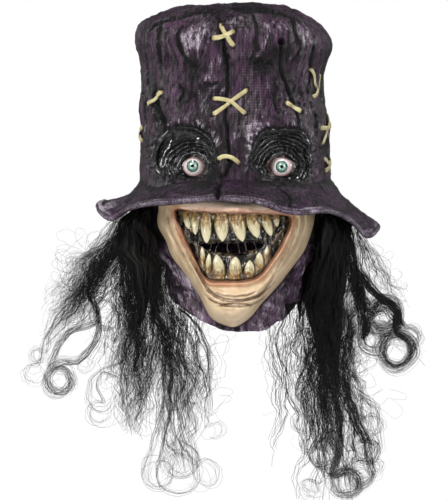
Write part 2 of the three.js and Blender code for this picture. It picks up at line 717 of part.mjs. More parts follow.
function makeLining() {
  const steps = [0, 0.5, 1];
  const rows = steps.map((out) => Array.from({ length: faceColumns }, (_, column) => {
    const share = column / faceColumns;
    const lip = lipPoint(share);
    const slotX = mouthMiddle + around(slotSpokes, share, 'across') * mouthWidth;
    const slotZ = mouthTop - around(slotSpokes, share, 'down') * mouthHeight;
    const x = slotX + (lip.x - slotX) * out;
    return new THREE.Vector3(x, liningFront(x), slotZ + (lip.z - slotZ) * out);
  }));
  const gums = toSolid(shell(rows, wall, { first: 'back', last: 'back' }));
  return toGeometry(gums.intersect(frontCutter(rows.at(-1))));
}

// Fang from its root on the lining to its tip, narrowing on a curve. way is -1 for down and 1 for up.
function makeTooth(row, way) {
  const wide = row.wide * fangWidth;
  const thick = Math.max(fangThick * wide, toothThick);
  const root = new THREE.Vector2(mouthMiddle + row.root * mouthWidth, mouthTop - row.start * mouthHeight);
  const tip = new THREE.Vector2(mouthMiddle + row.tip * mouthWidth, root.y + way * row.long * fangLength);
  const sections = toothStations.map((along) => {
    const size = 1 - along ** toothShape.taper;
    const x = root.x + (tip.x - root.x) * along ** toothShape.lean;
    const z = root.y + (tip.y - root.y) * along;
    const half = (size * wide + toothTip) / 2;
    const deep = (size * thick + toothTip) / 2;
    const seat = Math.min(liningFront(x - half), liningFront(x), liningFront(x + half));
    return Array.from({ length: toothSides }, (_, corner) => {
      const angle = (2 * Math.PI * corner) / toothSides;
      const y = seat - clearance - deep - deep * Math.cos(angle);
      return new THREE.Vector3(x + way * half * Math.sin(angle), y, z);
    });
  });
  return loft(sections);
}

// Seat of a strap on the crown: the highest spot of the skin under the strap's width.
function laceSeat(turn, up, out) {
  const middle = crownPoint(turn, up);
  const wide = THREE.MathUtils.radToDeg(laceWidth / crownWidth);
  const tall = laceWidth / (2 * crownHeight);
  const spots = [[0, 0], [-wide, 0], [wide, 0], [0, -tall], [0, tall]];
  const rises = spots.map(([aside, above]) => crownPoint(turn + aside, up + above).sub(middle).dot(out));
  return middle.addScaledVector(out, Math.max(...rises) + laceGap);
}

// Straps of one lace: flat strips on the crown, the later ones arched over the first.
function makeLace(straps) {
  const solids = straps.map(([turnA, upA, turnB, upB], index) => {
    const points = Array.from({ length: laceSteps + 1 }, (_, step) => {
      const share = step / laceSteps;
      const turn = turnA + (turnB - turnA) * share;
      const up = upA + (upB - upA) * share;
      const out = outwards(turn);
      const arch = index * laceArch * Math.sin(Math.PI * share);
      return { middle: laceSeat(turn, up, out).addScaledVector(out, arch), out };
    });
    const sections = points.map(({ middle, out }, step) => {
      const next = points[Math.min(step + 1, laceSteps)].middle;
      const ahead = next.clone().sub(points[Math.max(step - 1, 0)].middle);
      const across = ahead.normalize().cross(out).normalize().multiplyScalar(laceWidth / 2);
      const lift = out.clone().multiplyScalar(laceThick);
      const narrow = across.clone().setLength((laceWidth - laceThick) / 2);
      return [
        middle.clone().sub(across),
        middle.clone().sub(narrow).add(lift),
        middle.clone().add(narrow).add(lift),
        middle.clone().add(across),
      ];
    });
    return toSolid(loft(sections));
  });
  return toGeometry(solids.reduce((whole, strap) => whole.add(strap)));
}

// One lock of hair: a tapering wavy rope that hangs outside the wrap, thin where the weft binds it.
function lockSolid(lock) {
  const start = hairTop - weftHeight / 4;
  const sections = Array.from({ length: lockSteps + 1 }, (_, step) => {
    const along = (step / lockSteps) ** lockShape.gather;
    const phase = lockShape.waves * along + lock.root * lockShape.phase;
    const wave = lock.swing * hairLength * along * Math.sin(2 * Math.PI * phase);
    const z = start - lock.long * (hairLength - weftHeight / 4) * along;
    const turn = lock.root + (lock.tip - lock.root) * along;
    const swell = (1 + Math.sin(Math.PI * Math.min(1, lockShape.swell + along))) / 2;
    const bound = step === 0 ? lockShape.bound : 1;
    const radius = (bound * lock.thick * lockWidth * swell * (1 - lockShape.taper * along * along)) / 2;
    const gap = clearance + lockGap + radius + lock.flare * hairLength * along ** lockShape.swing;
    const out = outwards(turn);
    const aside = new THREE.Vector3(-out.y, out.x, 0);
    const middle = wrapAt(turn, z).addScaledVector(out, gap).addScaledVector(aside, wave);
    return Array.from({ length: lockSides }, (_, corner) => {
      const angle = (-2 * Math.PI * corner) / lockSides;
      const point = middle.clone().addScaledVector(out, radius * Math.cos(angle));
      return point.addScaledVector(aside, radius * Math.sin(angle));
    });
  });
  return toSolid(loft(sections));
}

// Weft of a hank: a flat upright band that follows the wrap under the brim between two turns.
function weftSolid(from, to) {
  const sections = Array.from({ length: weftSteps + 1 }, (_, step) => {
    const turn = from + ((to - from) * step) / weftSteps;
    const out = outwards(turn);
    const high = wrapAt(turn, hairTop).addScaledVector(out, clearance);
    const low = high.clone().setZ(hairTop - weftHeight);
    return [
      high.clone().addScaledVector(out, weftThick),
      low.clone().addScaledVector(out, weftThick),
      low,
      high,
    ];
  });
  return toSolid(loft(sections));
}

// Hank of hair: locks fused to their weft, which reaches a little past them.
function makeHair(locks) {
  const turns = locks.map((lock) => lock.root);
  const margin = THREE.MathUtils.radToDeg(weftThick / (crownWidth / 2));
  const weft = weftSolid(Math.min(...turns) - margin, Math.max(...turns) + margin);
  return toGeometry(locks.reduce((whole, lock) => whole.add(lockSolid(lock)), weft));
}

function paint(color, roughness) {
  return new THREE.MeshStandardMaterial({ color, roughness, metalness: 0 });
}

const mask = new THREE.Group();

function addMesh(name, geometry, material) {
  const mesh = new THREE.Mesh(geometry, material);
  mesh.name = name;
  mask.add(mesh);
  return mesh;
}

addMesh('hat_crown', makeCrown(), paint(0x4a3a4c, 0.5));
addMesh('hat_brim', makeBrim(), paint(0x4d3b52, 0.45));
addMesh('neck_wrap', makeWrap(), paint(0x4e404b, 0.4));
addMesh('face', makeFace(), paint(0xc4a884, 0.5));
addMesh('mouth_lining', makeLining(), paint(0x1c1512, 0.25));
for (const [name, side] of [['left', -1], ['right', 1]]) {
  const eye = addMesh(`eye_${name}`, eyeball(eyeDiameter / 2), paint(0xd2c6bc, 0.15));
  eye.position.copy(eyePlace(side));
  addMesh(`eye_socket_${name}`, makeSocket(side), paint(0x1f1c20, 0.3));
}
upperTeeth.forEach((row, index) => {
  addMesh(`tooth_upper_${index + 1}`, makeTooth(row, -1), paint(0xd6c8a2, 0.3));
});
lowerTeeth.forEach((row, index) => {
  addMesh(`tooth_lower_${index + 1}`, makeTooth(row, 1), paint(0xcdbd92, 0.3));
});
for (const [name, straps] of Object.entries(laces)) {
  addMesh(name, makeLace(straps), paint(0xc8b88c, 0.6));
}
addMesh('hair_left', makeHair(leftLocks), paint(0x171717, 0.55));
addMesh('hair_right', makeHair(rightLocks), paint(0x171717, 0.55));

export default mask;
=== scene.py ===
# %% [markdown]
# # A voodoo priest mask, dressed from its solids
# The real mask is one skin of painted latex that goes over the head: a battered top hat, two staring glass-like
# eyes in its crown, a drooping brim, a fanged grin below it, a cowl round the neck and two hanks of curly hair.
# The frame gives its plain solids. Every visible surface is worked out again here, on the same named sizes, as a
# much finer grid of points with the relief, the paint and the strands that the solids leave out.

# %% Load the frame and the tools
import math

import bpy
import numpy as np
from mathutils import Matrix, Vector


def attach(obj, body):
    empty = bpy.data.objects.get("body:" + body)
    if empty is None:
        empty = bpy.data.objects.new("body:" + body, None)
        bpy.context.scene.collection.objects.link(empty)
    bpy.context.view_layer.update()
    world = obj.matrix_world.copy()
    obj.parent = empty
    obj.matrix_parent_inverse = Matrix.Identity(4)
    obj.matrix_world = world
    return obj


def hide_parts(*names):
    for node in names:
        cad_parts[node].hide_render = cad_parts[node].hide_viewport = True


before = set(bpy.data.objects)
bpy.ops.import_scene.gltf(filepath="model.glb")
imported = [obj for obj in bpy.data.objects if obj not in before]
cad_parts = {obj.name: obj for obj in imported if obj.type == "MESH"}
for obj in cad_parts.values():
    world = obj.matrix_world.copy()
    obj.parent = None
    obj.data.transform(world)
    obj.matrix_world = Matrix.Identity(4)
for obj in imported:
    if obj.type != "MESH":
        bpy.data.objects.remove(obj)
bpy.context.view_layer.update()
MM = 0.001

# %% [markdown]
# ## Camera, floor and light
# The photograph was taken almost level from straight in front, with a long lens, so the camera stands four metres
# off and two and a half degrees up. The mask hangs where a head would hold it, well above a pale floor. A soft
# lamp above on the left models the folds, a weaker one on the right and a low one fill them, and a long one
# overhead and two behind draw the glints. The world stays dim for the mask and pale behind it.

# %% Camera at the photograph's angle
RISE = math.radians(2.5)
DISTANCE = 4.0
PHOTO_HEIGHT = 0.575
PHOTO_X, PHOTO_Z = -0.01265, -0.13225
look_at = Vector((PHOTO_X, 0, 0)) + Vector((0, math.sin(RISE), math.cos(RISE))) * PHOTO_Z
ahead = Vector((0, math.cos(RISE), -math.sin(RISE)))
camera_data = bpy.data.cameras.new("photo_camera")
camera_data.sensor_width = 36
camera_data.lens = camera_data.sensor_width * DISTANCE / PHOTO_HEIGHT
camera_data.clip_end = 60
camera = bpy.data.objects.new("photo_camera", camera_data)
camera.location = look_at - ahead * DISTANCE
camera.rotation_euler = ahead.to_track_quat("-Z", "Y").to_euler()
bpy.context.collection.objects.link(camera)
bpy.context.scene.camera = camera
print("camera at", [round(v, 3) for v in camera.location], "lens", round(camera_data.lens, 1))

# %% Floor, world and lamps
def add_node(tree, kind, inputs=None, output=0, **settings):
    """Adds a shader node, fills its inputs by name or place from numbers, colours or sockets, gives one output."""
    made = tree.nodes.new(f"ShaderNode{kind}")
    for key, value in settings.items():
        setattr(made, key, value)
    for key, value in (inputs or {}).items():
        if isinstance(value, bpy.types.NodeSocket):
            tree.links.new(value, made.inputs[key])
        else:
            made.inputs[key].default_value = value
    return made.outputs[output]


def make_floor(height=-1.25, radius=6.2):
    """A flat disc: a ring of points round the middle."""
    angles = np.linspace(0, 2 * np.pi, 96, endpoint=False)
    rim = np.stack([np.cos(angles) * radius, np.sin(angles) * radius, 0 * angles + height], axis=1)
    mesh = bpy.data.meshes.new("floor")
    mesh.from_pydata(rim.tolist(), [], [list(range(len(rim)))])
    floor = bpy.data.objects.new("floor", mesh)
    bpy.context.collection.objects.link(floor)
    material = bpy.data.materials.new("pale_floor")
    material.use_nodes = True
    shader = material.node_tree.nodes["Principled BSDF"]
    shader.inputs["Base Color"].default_value = (0.86, 0.855, 0.85, 1)
    shader.inputs["Roughness"].default_value = 0.8
    mesh.materials.append(material)
    return floor


def add_lamp(name, place, aim, width, height, power, tint=(1, 1, 1)):
    data = bpy.data.lights.new(name, "AREA")
    data.shape = "RECTANGLE"
    data.size, data.size_y, data.energy, data.color = width, height, power, tint
    lamp = bpy.data.objects.new(name, data)
    lamp.location = place
    lamp.rotation_euler = (Vector(aim) - Vector(place)).to_track_quat("-Z", "Y").to_euler()
    bpy.context.collection.objects.link(lamp)


make_floor()
world = bpy.data.worlds.new("studio")
world.use_nodes = True
bpy.context.scene.world = world
background = world.node_tree.nodes["Background"]
seen = add_node(world.node_tree, "LightPath", output="Is Camera Ray")
world_strength = add_node(world.node_tree, "MapRange", {"Value": seen, "To Min": 0.17, "To Max": 1.0})
world.node_tree.links.new(world_strength, background.inputs["Strength"])
background.inputs["Color"].default_value = (1, 1, 1, 1)
for lamp_row in (
    # name, place, aim, width, height, power, tint
    ("key_lamp", (-0.9, -1.9, 1.25), (0, 0, -0.1), 0.6, 0.5, 54, (1, 0.985, 0.96)),
    ("fill_lamp", (1.6, -1.7, 0.3), (0, 0, -0.12), 0.5, 1.1, 21, (0.96, 0.98, 1)),
    ("low_lamp", (-0.8, -2.2, -0.6), (0, 0, -0.14), 1.0, 0.4, 22),
    ("top_lamp", (0.1, -0.6, 1.7), (0, -0.02, 0), 0.9, 0.3, 17),
    ("left_rim", (-1.6, 0.9, 0.5), (0, 0, -0.1), 0.3, 1.0, 15),
    ("right_rim", (1.6, 0.9, 0.5), (0, 0, -0.1), 0.3, 1.0, 15),
):
    add_lamp(*lamp_row)
bpy.context.scene.view_settings.view_transform = "Standard"

# %% [markdown]
# ## Tools for surfaces
# A surface here is a grid of points: whole arrays of a turn round the head and a height, or of a spoke and a
# distance from the middle of an eye or of the mouth. The same helpers serve all of them: a curve through the rows
# of a table, a smooth random field for lumps and grain, a bell for soft spots, and the distance to a drawn path
# for seams and creases.

# %% Curves, random fields and distances
def curve(at, xs, ys):
    """Cubic curve through rows (xs, ys), each row's slope taken from its neighbours."""
    xs, ys = np.asarray(xs, float), np.asarray(ys, float)
    slopes = np.gradient(ys, xs)
    i = np.clip(np.searchsorted(xs, at, side="right") - 1, 0, len(xs) - 2)
    span = xs[i + 1] - xs[i]
    t = np.clip((at - xs[i]) / span, 0, 1)
    ease = t * t * (3 - 2 * t)
    bend = span * (slopes[i] * t * (1 - t) ** 2 - slopes[i + 1] * t * t * (1 - t))
    return ys[i] + (ys[i + 1] - ys[i]) * ease + bend


def ring_curve(at, xs, ys, period):
    """The same curve through rows that come round again after a period."""
    wrapped = np.concatenate([xs[-3:] - period, xs, xs[:3] + period])
    return curve((at - xs[0]) % period + xs[0], wrapped, np.concatenate([ys[-3:], ys, ys[:3]]))


def table_at(at, rows, period=None):
    """Every column of a table after the first, at places along the first; it may come round after a period."""
    for values in rows.T[1:]:
        yield curve(at, rows[:, 0], values) if period is None else ring_curve(at, rows[:, 0], values, period)


def step(low, high, value):
    """Smooth step from 0 at low to 1 at high."""
    t = np.clip((value - low) / (high - low), 0, 1)
    return t * t * (3 - 2 * t)


def noise(points, size, seed):
    """Random numbers on a lattice of that size, blended between the eight corners round each point."""
    spots = points / np.asarray(size, float) + seed * 7.31
    base = np.floor(spots).astype(np.int64)
    part = spots - base
    part = part * part * (3 - 2 * part)
    total = np.zeros(points.shape[:-1])
    for corner in range(8):
        way = np.array([(corner >> axis) & 1 for axis in range(3)])
        cell = ((base + way) * [73856093, 19349663, 83492791]).sum(-1) + seed * 1013904223
        cell = ((cell ^ (cell >> 13)) * 1274126177) & 0xFFFFFFFF
        number = ((cell ^ (cell >> 16)) & 0xFFFF) / 32767.5 - 1
        total += number * np.prod(np.where(way, part, 1 - part), axis=-1)
    return total


def rough(points, size, seed, octaves=3):
    """Noise at several sizes, each half as large and half as strong as the one before."""
    sizes = np.asarray(size, float)
    layers = [noise(points, sizes / 2**k, seed + 11 * k) / 2**k for k in range(octaves)]
    return sum(layers) / (2 - 2 ** (1 - octaves))


def bell(*pairs, power=2):
    """1 in the middle, fading as each distance grows past its width; pairs are distance, width, and so on."""
    return np.exp(-sum((far / wide) ** power for far, wide in zip(pairs[::2], pairs[1::2])))


def pack(*parts):
    """Arrays or numbers joined as the last axis of one array."""
    return np.stack(np.broadcast_arrays(*parts), axis=-1)


def crease(far, half, deep, lip, out=2.3, wide=1.3):
    """Height across a crease: a bell-shaped groove with a lip that stands some half widths to the side."""
    return lip * bell(far - out * half, wide * half) - deep * bell(far, half)


def ridges(points, size, seed):
    """Sharp crests where a random field passes through nought: 1 on a crest, 0 well away from it."""
    return np.clip(1 - 3 * np.abs(noise(points, size, seed)), 0, 1)


def path_distance(u, v, path):
    """Shortest distance from points (u, v) to a path of straight runs, and how far along it that is, 0 to 1."""
    path = np.asarray(path, float)
    best, place = np.full(np.shape(u), 1e9), np.zeros(np.shape(u))
    for index, (a, b) in enumerate(zip(path[:-1], path[1:])):
        run = b - a
        t = np.clip(((u - a[0]) * run[0] + (v - a[1]) * run[1]) / (run @ run), 0, 1)
        far = np.hypot(u - a[0] - run[0] * t, v - a[1] - run[1] * t)
        place = np.where(far < best, (index + t) / (len(path) - 1), place)
        best = np.minimum(far, best)
    return best, place


print("random field sample:", noise(np.zeros((1, 3)), 10, 1).round(3))

# %% Meshes from grids
def grid_faces(rows, columns):
    """Four-cornered cells of a grid that closes on itself, rows outwards or upwards, columns to the right."""
    i, j = np.meshgrid(np.arange(rows - 1), np.arange(columns), indexing="ij")
    right = (j + 1) % columns
    corners = [i * columns + j, i * columns + right, (i + 1) * columns + right, (i + 1) * columns + j]
    return np.stack(corners, axis=-1).reshape(-1, 4)


def around(columns):
    """Angles of the spokes or corners of a closed ring."""
    return np.linspace(0, 2 * np.pi, columns, endpoint=False)


def fan(start, columns, tip, turned=False):
    """Triangles between a closed ring of points, numbered from start, and the point tip."""
    ring, tips = np.arange(columns), np.full(columns, tip)
    here, after = start + ring, start + (ring + 1) % columns
    return np.stack([here, tips, after] if turned else [here, after, tips], axis=1)


def tube_cells(grids, inward=True):
    """Faces of several tubes in one mesh, each a grid of steps and corners that is shut flat at both ends."""
    cells, count = [], 0
    for rows, columns in (grid.shape[:2] for grid in grids):
        ring, last = np.arange(1, columns - 1), count + (rows - 1) * columns
        near, far = (np.stack([np.full(len(ring), at), at + ring, at + ring + 1], axis=1) for at in (count, last))
        side = grid_faces(rows, columns) + count
        cells += [side[:, ::-1], near, far[:, [0, 2, 1]]] if inward else [side, near[:, [0, 2, 1]], far]
        count += rows * columns
    return cells


def make_piece(name, points, faces, material, nodes=(), values=None, map_points=None):
    """Object from points in millimetres, arrays of faces, numbers for each point and a map (u, v) for each.
    Without faces the points are a closed grid."""
    mesh = bpy.data.meshes.new(name)
    faces = faces or [grid_faces(*points.shape[:2])]
    points = points.reshape(-1, 3)
    corners = np.concatenate([group.ravel() for group in faces])
    counts = np.concatenate([np.full(len(group), group.shape[1]) for group in faces])
    mesh.vertices.add(len(points))
    mesh.vertices.foreach_set("co", (points * MM).ravel())
    mesh.loops.add(len(corners))
    mesh.loops.foreach_set("vertex_index", corners)
    mesh.polygons.add(len(counts))
    mesh.polygons.foreach_set("loop_start", np.concatenate([[0], np.cumsum(counts)[:-1]]))
    mesh.update(calc_edges=True)
    for key, numbers in (values or {}).items():
        mesh.attributes.new(key, "FLOAT", "POINT").data.foreach_set("value", np.ravel(numbers))
    if map_points is not None:
        layer = mesh.uv_layers.new(name="skin")
        layer.data.foreach_set("uv", map_points.reshape(-1, 2)[corners].ravel())
    mesh.shade_smooth()
    mesh.materials.append(material)
    piece = bpy.data.objects.new(name, mesh)
    bpy.context.collection.objects.link(piece)
    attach(piece, "root")
    if nodes:
        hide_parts(*nodes)
    print(f"{name}: {sum((counts - 2)):,} triangles")
    return piece


def thicken(piece, thickness):
    """Gives a skin's open edges the thickness of its latex, inwards."""
    edge = piece.modifiers.new("edge", "SOLIDIFY")
    edge.thickness = thickness * MM
    edge.offset = -1
    edge.use_rim_only = True


def direction(turn):
    """Unit vector away from the head at a turn in degrees, 0 to the front and 90 to the right."""
    angle = np.radians(turn)
    return pack(np.sin(angle), -np.cos(angle), 0)


print("a grid of 3 by 4 has", len(grid_faces(3, 4)), "cells")

# %% [markdown]
# ## Shape of the hat
# Millimetres from here on, as in the solids. The crown is an oval whose four half sizes change with height, with
# soft dents and bulges. `crown_base` gives that shape for any turn and share of the height.

# %% Sizes and tables of the hat
crown_width, crown_depth, crown_top, crown_foot = 221, 242, 150, -66
crown_height = crown_top - crown_foot
ARC = math.radians(crown_width / 2)
crown_rows = np.array([
    # up, left, right, front, back
    (0, 1.0, 1.0, 1.0, 1.0), (0.13, 0.986, 0.986, 0.985, 0.99), (0.278, 0.986, 0.986, 0.975, 0.985),
    (0.384, 0.986, 0.986, 0.97, 0.98), (0.449, 1.0, 0.965, 0.965, 0.975), (0.514, 0.986, 0.94, 0.96, 0.97),
    (0.606, 0.977, 0.925, 0.955, 0.965), (0.671, 0.986, 0.94, 0.955, 0.97), (0.736, 1.01, 0.995, 0.965, 0.98),
    (0.8, 1.04, 1.01, 0.97, 0.985), (0.86, 1.035, 0.95, 0.95, 0.97), (0.905, 0.97, 0.86, 0.89, 0.93),
    (0.94, 0.84, 0.74, 0.79, 0.84), (0.97, 0.7, 0.61, 0.65, 0.7), (0.99, 0.46, 0.42, 0.45, 0.48),
    (1, 0.0, 0.0, 0.0, 0.0),
])
crown_dents = [
    # turn, up, half width in degrees, half height, depth as a share of the crown's width
    (-5, 0.78, 5, 0.16, -0.016), (-4, 0.42, 5, 0.15, -0.014), (-22, 0.38, 15, 0.05, -0.02),
    (27, 0.385, 15, 0.05, -0.02), (-52, 0.41, 9, 0.12, 0.018), (30, 0.74, 8, 0.12, 0.016),
    (38, 0.52, 8, 0.1, 0.012), (16, 0.69, 9, 0.045, 0.014), (-35, 0.82, 14, 0.08, -0.012),
    (-64, 0.62, 12, 0.1, 0.014), (74, 0.58, 12, 0.12, 0.012), (112, 0.44, 20, 0.14, 0.028),
    (152, 0.64, 18, 0.16, 0.026), (-168, 0.34, 18, 0.12, 0.022), (-124, 0.56, 20, 0.18, 0.03),
]


def oval(turn, left, right, front, back, z):
    """Point at a turn on an oval with its own half size to each side."""
    side, fore = np.sin(np.radians(turn)), np.cos(np.radians(turn))
    x = side * np.where(side < 0, left, right)
    y = -fore * np.where(fore > 0, front, back)
    return np.stack(np.broadcast_arrays(x, y, z), axis=-1).astype(float)


def gap(a, b):
    """Shortest way between two turns, in degrees."""
    return (a - b + 180) % 360 - 180


def spots(turn, height, rows):
    """Each soft oval spot of a table: an amount times a bell round a turn and a height."""
    for at, middle, wide, tall, amount in rows:
        yield amount * bell(gap(turn, at), wide, height - middle, tall)


def crown_base(turn, up):
    """Oval of the crown at a share of its height, pushed in or out by bell-shaped dents."""
    left, right, front, back = (np.maximum(half, 0) for half in table_at(up, crown_rows))
    z = crown_foot + up * crown_height
    point = oval(turn, left * crown_width / 2, right * crown_width / 2,
                 front * crown_depth / 2, back * crown_depth / 2, z)
    deep = crown_width * sum(spots(turn, up, crown_dents))
    return point - direction(turn) * (deep * step(1, 0.93, up))[..., None]


print("crown front at the eyes:", crown_base(np.array(0.0), np.array(0.15)).round(1))

# %% [markdown]
# ## Relief of the hat
# The sculptor dragged a tool down the clay, pressed in a seam that wanders from the top to the brim, tore and
# cracked the cloth in places and combed the brows with short strokes. Each of these is a drawn path or a stretched
# random field, and together they give a height for every point of the skin, a share of black that is partly wash
# run into the low places and partly painted shade in creases, holes and on the sides turned from the lamps, and a
# share of pale paint brushed over the high ones, with a painted highlight where the key lamp falls.

# %% Paths of the seams, creases and pits, as turn and height
hat_creases = [
    # path, half width, depth, lip
    ([(-11.4, 146), (-10.6, 134), (-8.2, 122), (-6.2, 100), (-4.6, 77), (-4.9, 64), (-4.4, 53.6), (-5.6, 40),
      (-5.2, 30), (-5.9, 18), (-4.7, 6.8), (-4.2, -8), (-3.7, -18.8), (-3.6, -26), (-2.5, -30), (-4.2, -36),
      (-5.5, -43.4), (-9.8, -48), (-10.8, -56)], 1.25, 4.4, 0.9),
    ([(-60, 60), (-57.5, 44), (-54.5, 30), (-49, 14), (-46, 3)], 3.4, 5.0, 0.9),
    ([(28, 104), (29.3, 95), (30, 73.8), (34.2, 59.3), (38, 42), (40.3, 24.5), (38.7, 8)], 1.8, 4.2, 0.8),
    ([(-31, 128), (-33, 108), (-31, 92), (-27, 80), (-21, 72)], 1.8, 1.2, 0.8),
    ([(-45, 132), (-48, 110), (-50, 86), (-53, 60)], 2.6, 1.5, 0.9),
    ([(12, 138), (13.5, 120), (11, 104), (14, 92)], 1.3, 1.0, 0.8),
    ([(41, 134), (38, 116), (41, 98), (37, 80)], 1.6, 1.4, 1.0),
    ([(55, 122), (51, 96), (55, 70), (52, 44), (57, 16), (54, -6)], 2.4, 1.8, 0.8),
    ([(8.6, 86), (12, 82), (15, 85), (18.5, 80), (22, 83), (25, 76)], 1.2, 2.2, 0.9),
    ([(11, 78), (14.5, 75), (18, 77), (21, 72)], 1.0, 1.6, 0.8),
    ([(-20, 60), (-14, 57), (-9, 60)], 1.0, 0.8, 0.4),
    ([(-62, 116), (-46, 129), (-28, 137), (-13, 141)], 2.2, 3.6, 2.2),
    ([(-7, 142), (8, 139), (24, 141), (38, 134), (52, 126)], 2.2, 4.0, 2.4),
    ([(-36, 60), (-32, 48), (-35, 36)], 1.3, 1.2, 0.9),
    ([(24, 66), (27, 52), (24, 36), (27, 22)], 1.2, 1.1, 0.8),
    ([(-70, 118), (-66, 92), (-70, 66), (-66, 40), (-70, 12), (-68, -20)], 2.2, 1.7, 0.8),
    ([(76, 96), (72, 70), (76, 40), (72, 8), (75, -26)], 2.0, 1.8, 0.8),
    ([(-108, 132), (-112, 96), (-106, 58), (-112, 20), (-108, -30)], 1.6, 2.4, 0.9),
    ([(118, 130), (113, 92), (119, 50), (112, 10), (117, -36)], 1.6, 2.4, 0.9),
    ([(178, 142), (174, 110), (179, 72), (173, 40), (178, 4), (175, -40)], 1.2, 2.8, 0.9),
    ([(150, 96), (156, 84), (163, 88), (169, 78)], 1.3, 1.8, 0.8),
    ([(-152, 60), (-146, 46), (-150, 30), (-143, 18)], 1.5, 1.8, 0.8),
]
hat_pits = [
    # turn, height, radius, depth
    (28.2, 105, 3.6, 5.5), (-6, 97, 2.6, 3.6), (-4.6, 88, 3.0, 3.8), (-5.6, 81, 2.0, 3.0), (14, 80, 2.6, 2.2),
    (19, 76, 2.4, 2.0), (10, 88, 2.0, 1.6), (-74, 46, 2.2, 2.2), (47, 34, 1.6, 1.4), (-13.5, 58, 1.2, 1.2),
]
lace_ends = [
    # turn, height where a lace goes into the skin
    (-9, 126.4), (-0.8, 99.5), (-13.2, 109), (-0.2, 117.6), (-13.8, 42), (6.3, 24.7), (8, 52.4), (-13.2, 23.4),
    (-51.1, 50.4), (-63.7, 34.7), (-10.8, -26.7), (2.5, -31.4), (33.5, 37.9), (44.4, 26.9), (54.7, 76.3),
    (65.5, 53.4), (66, 58.2), (57, 43.5), (70.5, 70), (75, 48.3), (80.4, 25.4), (63.4, -10.9), (60.6, 8.5),
    (83.2, 13.9), (67, -25.6), (80, -42.2), (81, -23.9), (69, -41),
]
hat_tones = [
    # turn, height, half width in degrees, half height, lighter above nought and darker below: paint patches, with a
    # painted highlight on the lit upper left front and painted shade on the turned-away sides
    (-27, 106, 13, 26, 0.62), (-19, 68, 13, 18, 0.28), (14, 112, 12, 20, 0.45), (40, 110, 9, 24, 0.3),
    (-42, 20, 9, 16, 0.3), (12, 6, 9, 14, 0.55), (-12, -2, 7, 14, 0.25), (-62, 84, 9, 40, -0.7),
    (-56, 20, 6, 24, -0.8), (34, 58, 8, 34, -0.6), (10, 146, 60, 9, -0.8), (60, 30, 9, 60, -0.35),
    (16, 40, 14, 26, 0.12), (-36, 62, 9, 18, -0.4), (56, 118, 6, 20, -0.3), (-72, 120, 14, 24, 0.1),
    (26, 124, 9, 12, 0.45), (44, 112, 8, 20, 0.45), (-50, 96, 7, 20, 0.2), (2, 122, 6, 12, 0.3),
]
hat_smudges_and_shade = [
    # turn, height, half width in degrees, half height, strength of the black: smudges of wash, and painted shade on the
    # sides turned from the lamps and round the back
    (-27, 82, 7, 9, 0.8), (-20, 74, 6, 6, 0.55), (15, 84, 8, 9, 0.85), (20, 74, 6, 7, 0.6), (33, 96, 4, 16, 0.6),
    (36, 62, 4, 20, 0.55), (-54, 28, 6, 26, 0.85), (-15, -42, 8, 10, 0.85), (-60, 60, 5, 20, 0.4),
    (8, 143, 40, 6, 0.5), (-58, 128, 7, 12, 0.35), (58, 20, 5, 40, 0.4), (-66, -10, 7, 26, 0.5),
    (70, -20, 8, 24, 0.5), (110, 20, 16, 60, 0.3), (-120, 30, 18, 60, 0.3), (170, 40, 12, 60, 0.35),
    (80, 60, 7, 60, 0.7), (-80, 40, 7, 60, 0.4),
]
print("creases:", len(hat_creases), "pits:", len(hat_pits), "holes for laces:", len(lace_ends))

# %% [markdown]
# The hollows round the eyes are drawn on spokes from the middle of each eye. `eye_field` tells, for any point
# of the hat's front, its spoke and how far out it lies: 0 at the lid's edge and 1 at the rim of the hollow.

# %% Eyes and the hollows round them
eye_diameter, eye_height, eye_spacing, eyes_middle, eye_sink = 27, -34.5, 0.448 * crown_width, 2.2, 17.5
lid_width, lid_height, socket_width, socket_depth = 24, 20, 72, 11
socket_spokes = {
    "left": np.array([0.6, 0.5, 0.395, 0.34, 0.257, 0.2, 0.18, 0.222, 0.358, 0.61, 0.685, 0.67]),
    "right": np.array([0.575, 0.62, 0.51, 0.45, 0.47, 0.245, 0.2, 0.225, 0.31, 0.46, 0.51, 0.607]),
}
eye_x = {"left": eyes_middle - eye_spacing / 2, "right": eyes_middle + eye_spacing / 2}
CLOCK = np.arange(12) / 12


def lid_reach(clock, side):
    """Distance of the lid's edge from the eye's middle: an oval, drawn out a little at both corners."""
    x, z = np.sin(clock), np.cos(clock)
    wide = {"left": 0.86, "right": 1.02}[side] * lid_width
    plain = 1 / np.hypot(2 * x / wide, 2 * z / (0.96 * lid_height))
    return plain * (1 + 0.06 * np.abs(x) ** 6)


def rim_reach(clock, side):
    share = (clock / (2 * np.pi)) % 1
    return ring_curve(share, CLOCK, socket_spokes[side], 1) * socket_width


def eye_field(x, z, side):
    """Spoke (clockwise from the top) and distance of x, z from an eye, 0 at the lid and 1 at the rim."""
    across, above = x - eye_x[side], z - eye_height
    clock = np.arctan2(across, above)
    far = np.hypot(across, above)
    lid = lid_reach(clock, side)
    return clock, (far - lid) / (rim_reach(clock, side) - lid)


print("reach of the hollows upwards:", {side: float(rim_reach(0.0, side).round(1)) for side in eye_x})

